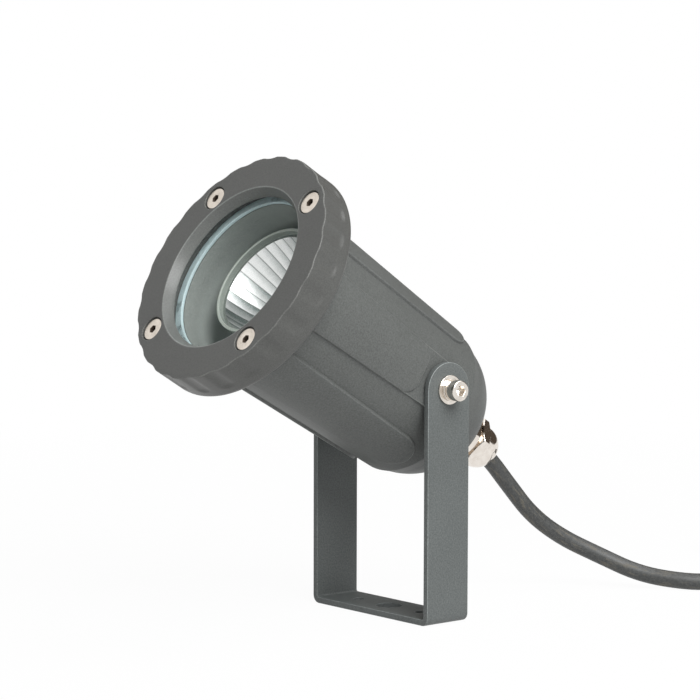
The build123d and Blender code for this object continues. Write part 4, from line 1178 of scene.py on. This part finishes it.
# Cable gland: threaded body with a hexagon, and a domed cap nut
gland = dict(
    hexTop=-43.39, hexBottom=-48.89, hexHalf=10.0, hexSoftness=0.07,
    chamferRadius=10.15, chamferSlope=1.73, chamferHeight=1.0, chamferRows=7,
    threadRadius=8.0, threadTop=-33.39, neckRadius=7.5, neckEnd=-56.59, bore=4.2,
    sealRadius=6.2, sealDepth=7.5,
    capTop=-50.49, capHexEnd=-54.99, capRadius=9.4, capStraight=3.4, capEnd=-64.89, capEndRadius=6.2,
    mouth=5.4, mouthEdge=0.3, capInner=7.6, throat=-56.99, throatFall=2.2,
    columns=144, domeRows=16, sharp=28,
)


# a nut's side: the least, taken softly, of the hexagon's reach and two cones that chamfer its ends
def hexagonRows(low, high):
    reach, rows = gland["chamferHeight"], gland["chamferRows"]
    height = np.concatenate([np.linspace(low, low + reach, rows), np.linspace(high - reach, high, rows)])
    cones = [gland["chamferRadius"] + gland["chamferSlope"] * h for h in (height - low, high - height)]
    soft = gland["hexSoftness"]
    hexagon = gland["hexHalf"] * hexagonReach(roundAngles(gland["columns"]))
    total = sum(np.exp(-(side[:, None] - gland["hexHalf"]) / soft) for side in cones)
    total = total + np.exp(-(hexagon - gland["hexHalf"]) / soft)
    return gland["hexHalf"] - soft * np.log(total), height


# plain (radius, height) rows before and after a hexagon's rows, on one grid
def nutSheet(before, low, high, after):
    sides, heights = hexagonRows(low, high)
    before, after = np.asarray(before, float), np.asarray(after, float)
    ring = np.ones(gland["columns"])
    radii = np.concatenate([before[:, :1] * ring, sides[::-1], after[:, :1] * ring])
    return roundSheet(radii, np.concatenate([before[:, 1], heights[::-1], after[:, 1]]))


def makeGland():
    bore, top, end = gland["bore"], gland["threadTop"], gland["neckEnd"]
    sealFloor = end + gland["sealDepth"]
    bodyBefore = [(bore, top), (gland["threadRadius"], top), (gland["threadRadius"], gland["hexTop"])]
    bodyAfter = [
        (gland["neckRadius"], gland["hexBottom"]), (gland["neckRadius"], end),
        (gland["sealRadius"], end), (gland["sealRadius"], sealFloor), (bore, sealFloor), (bore, top),
    ]
    body = nutSheet(bodyBefore, gland["hexBottom"], gland["hexTop"], bodyAfter)
    placing = ([finish["nickel"]], onHead, "head", "nickel_plate")
    makePiece("glandBody", [(body, True, 0)], *placing, ["gland_body"], gland["sharp"])
    straightEnd = gland["capHexEnd"] - gland["capStraight"]
    drop, fall = gland["capRadius"] - gland["capEndRadius"], straightEnd - gland["capEnd"]
    crown = (drop ** 2 + fall ** 2) / (2 * drop)
    angle = np.linspace(0, math.asin(fall / crown), gland["domeRows"])
    domeRadius = gland["capRadius"] - crown * (1 - np.cos(angle))
    dome = np.stack([domeRadius, straightEnd - crown * np.sin(angle)], 1)
    inside = roundedLine([
        tuple(dome[-1]), (gland["mouth"], gland["capEnd"], gland["mouthEdge"]),
        (gland["mouth"], gland["throat"] - gland["throatFall"]), (gland["capInner"], gland["throat"]),
        (gland["capInner"], gland["capTop"]),
    ])
    capAfter = np.concatenate([[(gland["capRadius"], gland["capHexEnd"])], dome, inside[1:]])
    cap = nutSheet([(gland["capInner"], gland["capTop"])], gland["capHexEnd"], gland["capTop"], capAfter)
    makePiece("glandCapNut", [(cap, True, 0)], *placing, ["gland_cap_nut"], gland["sharp"])


makeGland()


# Front glass on its gasket
frontGlass = dict(radius=37.5, front=94.2, back=90.2, edge=0.4, columns=128)
gasket = dict(inner=34.1, outer=37.5, back=88.7, edge=0.35, columns=160)


def makeGlass():
    radius, front, back, edge = (frontGlass[k] for k in ("radius", "front", "back", "edge"))
    disc = roundedLine([(0, front), (radius, front, edge), (radius, back, edge), (0, back)])
    sheets = [(turned(disc, frontGlass["columns"]), True, 0)]
    makePiece("frontGlass", sheets, [finish["glass"]], onHead, "head", "front_glass", ["front_glass"])
    inner, outer, low, soft = (gasket[k] for k in ("inner", "outer", "back", "edge"))
    middle = (inner + outer) / 2
    ring = roundedLine([
        (middle, low), (outer, low, soft), (outer, back, soft),
        (inner, back, soft), (inner, low, soft), (middle, low),
    ])
    sheets = [(turned(ring, gasket["columns"]), True, 0)]
    looks = [finish["silicone"]]
    makePiece("glassGasket", sheets, looks, onHead, "head", "pale_silicone", ["glass_gasket"])


makeGlass()


# Lamp: fluted mirror in a glass shell with a ringed rim, and its cover glass
lamp = dict(
    front=79.5, rimBack=75.1, rimRadius=25.0, coverRadius=23.6, ledge=76.9, mouth=22.4, seatGap=0.1,
    neckRadius=11.25, neckStation=45.5, wall=1.5, bulge=0.62,
    flutes=30, fluteDepth=-0.1, facets=9, facetDepth=0.02, perFlute=12, rows=89,
    mouthFade=30, neckFade=12, shellRows=40, coverColumns=128,
    ringRadius=24.3, ringHeight=0.22, ringHalf=0.2, ringEdge=0.05, ringFloor=0.08,
    seatEdge=0.15, rimEdge=0.3, coverEdge=0.35, coverBackEdge=0.2, sharp=50,
    lean=5.0, baseRadius=12.0, baseStation=31.5,
)


# the lamp turned about X on its holder by its lean, lifted so that its base's edge stands there
def onLamp(points):
    turn = math.radians(lamp["lean"])
    sine, cosine = math.sin(turn), math.cos(turn)
    seat = np.array([0, 0, lamp["baseStation"]])
    lift = np.array([0, 0, lamp["baseRadius"] * sine + lamp["seatGap"]])
    leaning = np.array([[1, 0, 0], [0, cosine, sine], [0, -sine, cosine]])
    return onHead((points - seat) @ leaning.T + seat + lift)


# coordinates in the lamp's own frame
def lampPlace(tree):
    origin, *ends = onLamp(np.concatenate([np.zeros((1, 3)), np.eye(3)]))
    place = tree.objectPlace()
    return [tree.along(place, end - origin, origin * mm) for end in ends]


# the mirror's dark and pale colours are the painted reflection's tones
mirrorLook = dict(
    dark=(0.2, 0.24, 0.23), pale=(0.98, 0.99, 0.98), seam=(0.12, 0.14, 0.13), seamStart=0.42, seamEnd=0.49,
    forwardSlope=0.62, mottleScale=640, mottleHeight=0.006,
)
# the rim's ring colour is a painted highlight, and its shade is painted shade inside the cover's seat
rimLook = dict(
    body=(0.5, 0.56, 0.5), ring=(0.85, 0.88, 0.82), shade=(0.18, 0.21, 0.19),
    ringPitch=0.55, shadeStart=23.75, shadeEnd=23.55,
)


# mirror coat of the reflector, its reflections painted into the colour: each facet has its own tone, paler
# towards the mouth, the top and one side, as painted reflection, with a dark line where two facets meet,
# and looking more forward than the bowl by a slope along its axis
@finishMaker
def mirrorCoatPaintedReflection(tree):
    x, y, z = lampPlace(tree)
    turn = tree.maths("ARCTAN2", y, x) * (lamp["flutes"] / (2 * math.pi)) + lamp["flutes"]
    number = tree.maths("FLOOR", turn)
    across = turn - number
    facetReflectionTone = tree.node("ShaderNodeTexWhiteNoise", {"noise_dimensions": "1D"}, {"W": number}, "Value")
    rise = tree.spread(z, lamp["neckStation"] * mm, lamp["ledge"] * mm)
    seam = tree.spread(tree.maths("ABSOLUTE", across - 0.5), mirrorLook["seamStart"], mirrorLook["seamEnd"])
    mottle = tree.noise(tree.objectPlace(), mirrorLook["mottleScale"], 3, 0.6)
    paintedTopReflection = tree.spread(y, -lamp["mouth"] * mm, lamp["mouth"] * mm)
    # painted reflection: the facet's tone, the mouth, one side of each facet and the top painted paler
    share = tree.spread(facetReflectionTone * 0.3 + rise * 0.4 + across * 0.5 + mottle * 0.2 + paintedTopReflection * 0.7, 0.8, 1.4)
    colour = tree.mixColour(share, mirrorLook["dark"], mirrorLook["pale"])
    height = mottle * mirrorLook["mottleHeight"] * mm - z * mirrorLook["forwardSlope"]
    return {
        "Base Color": tree.mixColour(seam * 0.75, colour, mirrorLook["seam"]),
        "Metallic": 0.92,
        "Roughness": mottle * 0.14 + 0.28,
        "Normal": tree.bump(height, 1.0, 1 / mm),
    }


# pressed glass of the lamp's rim: light rings on a sine of the radius as painted highlights, and painted
# shade inside the cover's seat
@finishMaker
def rimGlassPaintedLight(tree):
    x, y, _ = lampPlace(tree)
    radius = (x * x + y * y) ** 0.5
    wave = tree.maths("SINE", radius * (2 * math.pi / (rimLook["ringPitch"] * mm)))
    rings = tree.spread(wave, 0.5, 1.0)
    inner = tree.spread(radius, rimLook["shadeStart"] * mm, rimLook["shadeEnd"] * mm)
    colour = tree.mixColour(rings * 0.6, rimLook["body"], rimLook["ring"])
    return {
        "Base Color": tree.mixColour(inner * 0.7, colour, rimLook["shade"]),
        "Roughness": rings * 0.1 + 0.12,
    }


# the mirror: an arc from the neck to the mouth, drawn in by a parabola across each facet to make it flat
# and pushed out by smaller ones along it, both fading at the mouth
def mirrorSheet(middle, middleStation):
    line = arcThrough(
        (lamp["neckRadius"] - lamp["wall"], lamp["neckStation"]),
        (middle - lamp["wall"], middleStation),
        (lamp["mouth"], lamp["ledge"]),
        lamp["rows"],
    )
    columns = lamp["flutes"] * lamp["perFlute"]
    across = 2 * ((np.arange(columns) / lamp["perFlute"]) % 1) - 1
    along = np.linspace(0, 1, lamp["rows"])
    cell = 2 * ((along * lamp["facets"]) % 1) - 1
    fade = np.clip((1 - along) * lamp["mouthFade"], 0, 1) * np.clip(along * lamp["neckFade"], 0, 1)
    dents = lamp["fluteDepth"] * (1 - across ** 2) + lamp["facetDepth"] * (1 - cell ** 2)[:, None]
    return roundSheet(line[:, :1] + dents * fade[:, None] * line[:, :1] / lamp["mouth"], line[:, 1])


def makeLamp():
    outerStart = lamp["rimRadius"] - lamp["seatGap"]
    middle = lamp["neckRadius"] + lamp["bulge"] * (outerStart - lamp["neckRadius"])
    middleStation = (lamp["rimBack"] + lamp["neckStation"]) / 2
    mirror = mirrorSheet(middle, middleStation)
    neckEnd = (lamp["neckRadius"], lamp["neckStation"])
    shell = arcThrough((outerStart, lamp["rimBack"]), (middle, middleStation), neckEnd, lamp["shellRows"])
    bead, crest = lamp["ringRadius"], lamp["front"]
    seat = lamp["coverRadius"] + lamp["seatGap"]
    rim = roundedLine([
        (lamp["mouth"], lamp["ledge"]),
        (seat, lamp["ledge"]),
        (seat, crest, lamp["seatEdge"]),
        (bead - lamp["ringHalf"], crest, lamp["ringEdge"]),
        (bead, crest - lamp["ringHeight"], lamp["ringFloor"]),
        (bead + lamp["ringHalf"], crest, lamp["ringEdge"]),
        (lamp["rimRadius"], crest, lamp["rimEdge"]),
        (lamp["rimRadius"], lamp["rimBack"], lamp["rimEdge"]),
        (outerStart, lamp["rimBack"]),
    ])
    neck = [(lamp["neckRadius"] - lamp["wall"], lamp["neckStation"])]
    glassLine = np.concatenate([rim, shell, neck])
    sheets = [(mirror, True, 0), (turned(glassLine, mirror.shape[1]), True, 1)]
    looks = [mirrorCoatPaintedReflection("reflectorMirror"), rimGlassPaintedLight("lampRimGlass")]
    nodes = ["lamp_reflector"]
    makePiece("lampReflector", sheets, looks, onLamp, "head", "reflector_mirror", nodes, lamp["sharp"])
    cover = roundedLine([
        (0, crest), (lamp["coverRadius"], crest, lamp["coverEdge"]),
        (lamp["coverRadius"], lamp["ledge"], lamp["coverBackEdge"]), (0, lamp["ledge"]),
    ])
    sheets = [(turned(cover, lamp["coverColumns"]), True, 0)]
    nodes = ["lamp_cover_glass"]
    makePiece("lampCoverGlass", sheets, [finish["cover"]], onLamp, "head", "lamp_glass", nodes)


makeLamp()


# Tie round the coil: a flat band carried round the bundle's section
tie = dict(
    turn=0.25, inner=31.275, outer=46.875, low=0.8, high=16.4,
    thickness=0.8, width=3.0, corner=4.0, edge=0.15, cornerRows=8,
)


# a rectangle with round corners, walked as points and outward ways
def roundedLoop(centre, halves, corner):
    around = np.linspace(0, math.pi / 2, tie["cornerRows"])
    points, ways = [], []
    for k, signs in enumerate([(1, 1), (-1, 1), (-1, -1), (1, -1)]):
        angle = around + k * math.pi / 2
        way = waysAt(angle)
        points.append(centre + np.array(signs) * (halves - corner) + corner * way)
        ways.append(way)
    return np.concatenate(points), np.concatenate(ways)


def makeTie():
    half = tie["thickness"] / 2
    centre = np.array([(tie["inner"] + tie["outer"]) / 2, (tie["low"] + tie["high"]) / 2])
    halves = np.array([tie["outer"] - tie["inner"], tie["high"] - tie["low"]]) / 2 + half
    loop, ways = roundedLoop(centre, halves, tie["corner"] + half)
    loop, ways = (np.concatenate([a, a[:1]]) for a in (loop, ways))
    section, _ = roundedLoop(np.zeros(2), np.array([half, tie["width"] / 2]), tie["edge"])
    angle = coilStartAngle + 2 * math.pi * tie["turn"]
    out = np.array([math.cos(angle), math.sin(angle), 0])
    radial = loop[:, None, 0] + ways[:, None, 0] * section[:, 0]
    height = loop[:, None, 1] + ways[:, None, 1] * section[:, 0]
    aside = np.broadcast_to(section[:, 1], radial.shape)
    band = coilCentre * (1, 1, 0) + radial[..., None] * out + aside[..., None] * leftOf(out)
    band = band + height[..., None] * np.array([0, 0, 1])
    sheets = [(band, True, 0)]
    return makePiece("coilTie", sheets, [finish["tie"]], asMade, "bracket", "tie_plastic", ["coil_tie"])


coilTie = makeTie()


# Bare cores at the cable's free end, fanned out to their ferrules
bareEnd = dict(
    coreDiameter=2.4, lay=1.85, straight=8.8, length=22.0, fan=6.0, tipHeight=1.8, sides=16, steps=10,
    lanes=((-1, 210), (0, 90), (1, 330)),        # each core's side of the fan and its angle in the sheath
)


def makeBareCores():
    end = cablePath[-1]
    way = unit(cablePath[-1] - cablePath[-2])
    across = leftOf(way)
    sheets = []
    for number, (lane, angle) in enumerate(bareEnd["lanes"]):
        aside = bareEnd["lay"] * math.cos(math.radians(angle))
        rise = bareEnd["lay"] * math.sin(math.radians(angle))
        first = end + across * aside + np.array([0, 0, rise])
        tip = first + way * bareEnd["length"] + across * lane * bareEnd["fan"]
        tip[2] = bareEnd["tipHeight"]
        route = np.stack([first, first + way * bareEnd["straight"], tip])
        line = splinePoints("coreLine", route, bareEnd["steps"])
        core = tubeSheet(line, bareEnd["coreDiameter"] / 2, bareEnd["sides"])
        sheets.append((capped(core), True, number))
    colours = [finish["brown"], finish["earth"], finish["blue"]]
    return makePiece(
        "bareCores", sheets, colours, asMade, "bracket", "brown_insulation", ["bare_cores"],
        sharp=sewing["tubeSharp"],
    )


bareCores = makeBareCores()


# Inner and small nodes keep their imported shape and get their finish
nodeFinish = dict(
    friction_washers="fibre", lamp_burner="burner", lamp_base="ceramic", lamp_pins="stainless",
    lamp_holder="ceramic", holder_screws="stainless", holder_strap="strap", strap_screws="stainless",
    terminal_block="terminal", terminal_inserts="brass", terminal_screws="stainless",
    terminal_fixings="stainless", earth_tag="copper", earth_screw="stainless",
    live_core="brown", neutral_core="blue", earth_core="earth", lamp_leads="brown", earth_lead="earth",
    gland_washer="rubber", gland_seal="rubber", gland_locknut="nickel", cable_entry="rubber",
    core_ferrules="copper",
)
innerLook = dict(weld=0.001, splitAngle=30.0)


def dressNodes():
    for name, look in nodeFinish.items():
        node = frame["nodes"][name]
        for place in node.material_slots:
            place.material = finish[look]
        node.data.polygons.foreach_set("use_smooth", np.ones(len(node.data.polygons), bool))
        weld = node.modifiers.new("weld", "WELD")
        weld.merge_threshold = innerLook["weld"] * mm
        split = node.modifiers.new("edges", "EDGE_SPLIT")
        split.split_angle = math.radians(innerLook["splitAngle"])
    print("nodes dressed:", len(nodeFinish))


dressNodes()


# Stage, in metres: a pale floor, soft lamps, a white surround, and a dark flag that only mirrors see
stage = dict(
    floorRadius=4.0, floorRings=9, floorColumns=64, floorColour=(0.8, 0.8, 0.8),
    nearWhite=0.96, fadeStart=0.2, fadeEnd=0.7, ambient=0.18, aim=(0, 0, 0.09),
)
lamps = dict(
    rightBox=dict(place=(1.2, -0.24, 1.2), size=1.2, power=33),
    topBox=dict(place=(0.3, 0.6, 1.5), size=1.0, power=7),
    frontFill=dict(place=(-0.6, -1.5, 0.9), size=1.2, power=1.5),
)
flag = dict(radius=1.6, low=0.16, high=1.3, start=55, end=176, columns=25, colour=(0.09, 0.072, 0.058))


# one where the ray comes from the camera, a mirror or a glass, as the surround has to look white there
def seenDirectly(tree):
    kinds = ("Is Camera Ray", "Is Glossy Ray", "Is Transmission Ray")
    rays = [tree.node("ShaderNodeLightPath", {}, {}, kind) for kind in kinds]
    total = rays[0] + rays[1] + rays[2]
    return tree.node("ShaderNodeClamp", {}, {"Value": total})


def makeSurround():
    def white(tree):
        strength = seenDirectly(tree) * (1 - stage["ambient"]) + stage["ambient"]
        return tree.node("ShaderNodeBackground", {}, {"Color": (1, 1, 1, 1), "Strength": strength})
    scene.world = shaded(bpy.data.worlds.new("whiteSurround"), "ShaderNodeOutputWorld", white)


# a grid of points in metres that is no part of the object
def stageSheet(name, grid, closed, material):
    mesh = bpy.data.meshes.new(name)
    mesh.from_pydata(grid.reshape(-1, 3), [], gridQuads(*grid.shape[:2], closed).tolist())
    mesh.materials.append(material)
    sheet = addObject(name, mesh)
    return sheet


# a pale matt disc of rings about the origin, which goes over to plain white away from the object
def makeFloor():
    def fading(tree):
        matt = tree.node("ShaderNodeBsdfDiffuse", {}, {"Color": (*stage["floorColour"], 1)})
        glow = tree.node("ShaderNodeEmission", {}, {"Color": (1, 1, 1, 1), "Strength": 1.0})
        away = tree.node("ShaderNodeVectorMath", {"operation": "LENGTH"}, {0: tree.objectPlace()}, "Value")
        near = stage["nearWhite"]
        white = tree.spread(away, stage["fadeStart"], stage["fadeEnd"]) * (1 - near) + near
        return tree.node("ShaderNodeMixShader", {}, {0: white * seenDirectly(tree), 1: matt, 2: glow})
    radii = np.linspace(0, stage["floorRadius"], stage["floorRings"])
    rings = turned([(radius, 0) for radius in radii], stage["floorColumns"])
    stageSheet("paleFloor", rings, True, newMaterial("paleFloor", fading))


# part of a cylinder's wall round the object: an angle by a height
def makeFlag():
    def cloth(tree):
        return tree.node("ShaderNodeEmission", {}, {"Color": (*flag["colour"], 1), "Strength": 1.0})
    turn = np.radians(np.linspace(flag["start"], flag["end"], flag["columns"]))
    angle, height = np.meshgrid(turn, [flag["low"], flag["high"]], indexing="ij")
    wall = np.stack([flag["radius"] * np.cos(angle), flag["radius"] * np.sin(angle), height], -1)
    sheet = stageSheet("darkFlag", wall, False, newMaterial("darkFlag", cloth))
    sheet.visible_camera = False
    sheet.visible_diffuse = False
    sheet.visible_shadow = False
    sheet.visible_transmission = False


def makeLamps():
    target = Vector(stage["aim"])
    for name, lampSet in lamps.items():
        data = bpy.data.lights.new(name, "AREA")
        data.energy = lampSet["power"]
        data.shape = "DISK"
        data.size = lampSet["size"]
        place = Vector(lampSet["place"])
        aim = (target - place).to_track_quat("-Z", "Y").to_matrix().to_4x4()
        addObject(name, data).matrix_world = Matrix.Translation(place) @ aim


makeSurround()
makeFloor()
makeFlag()
makeLamps()
print("stage set")
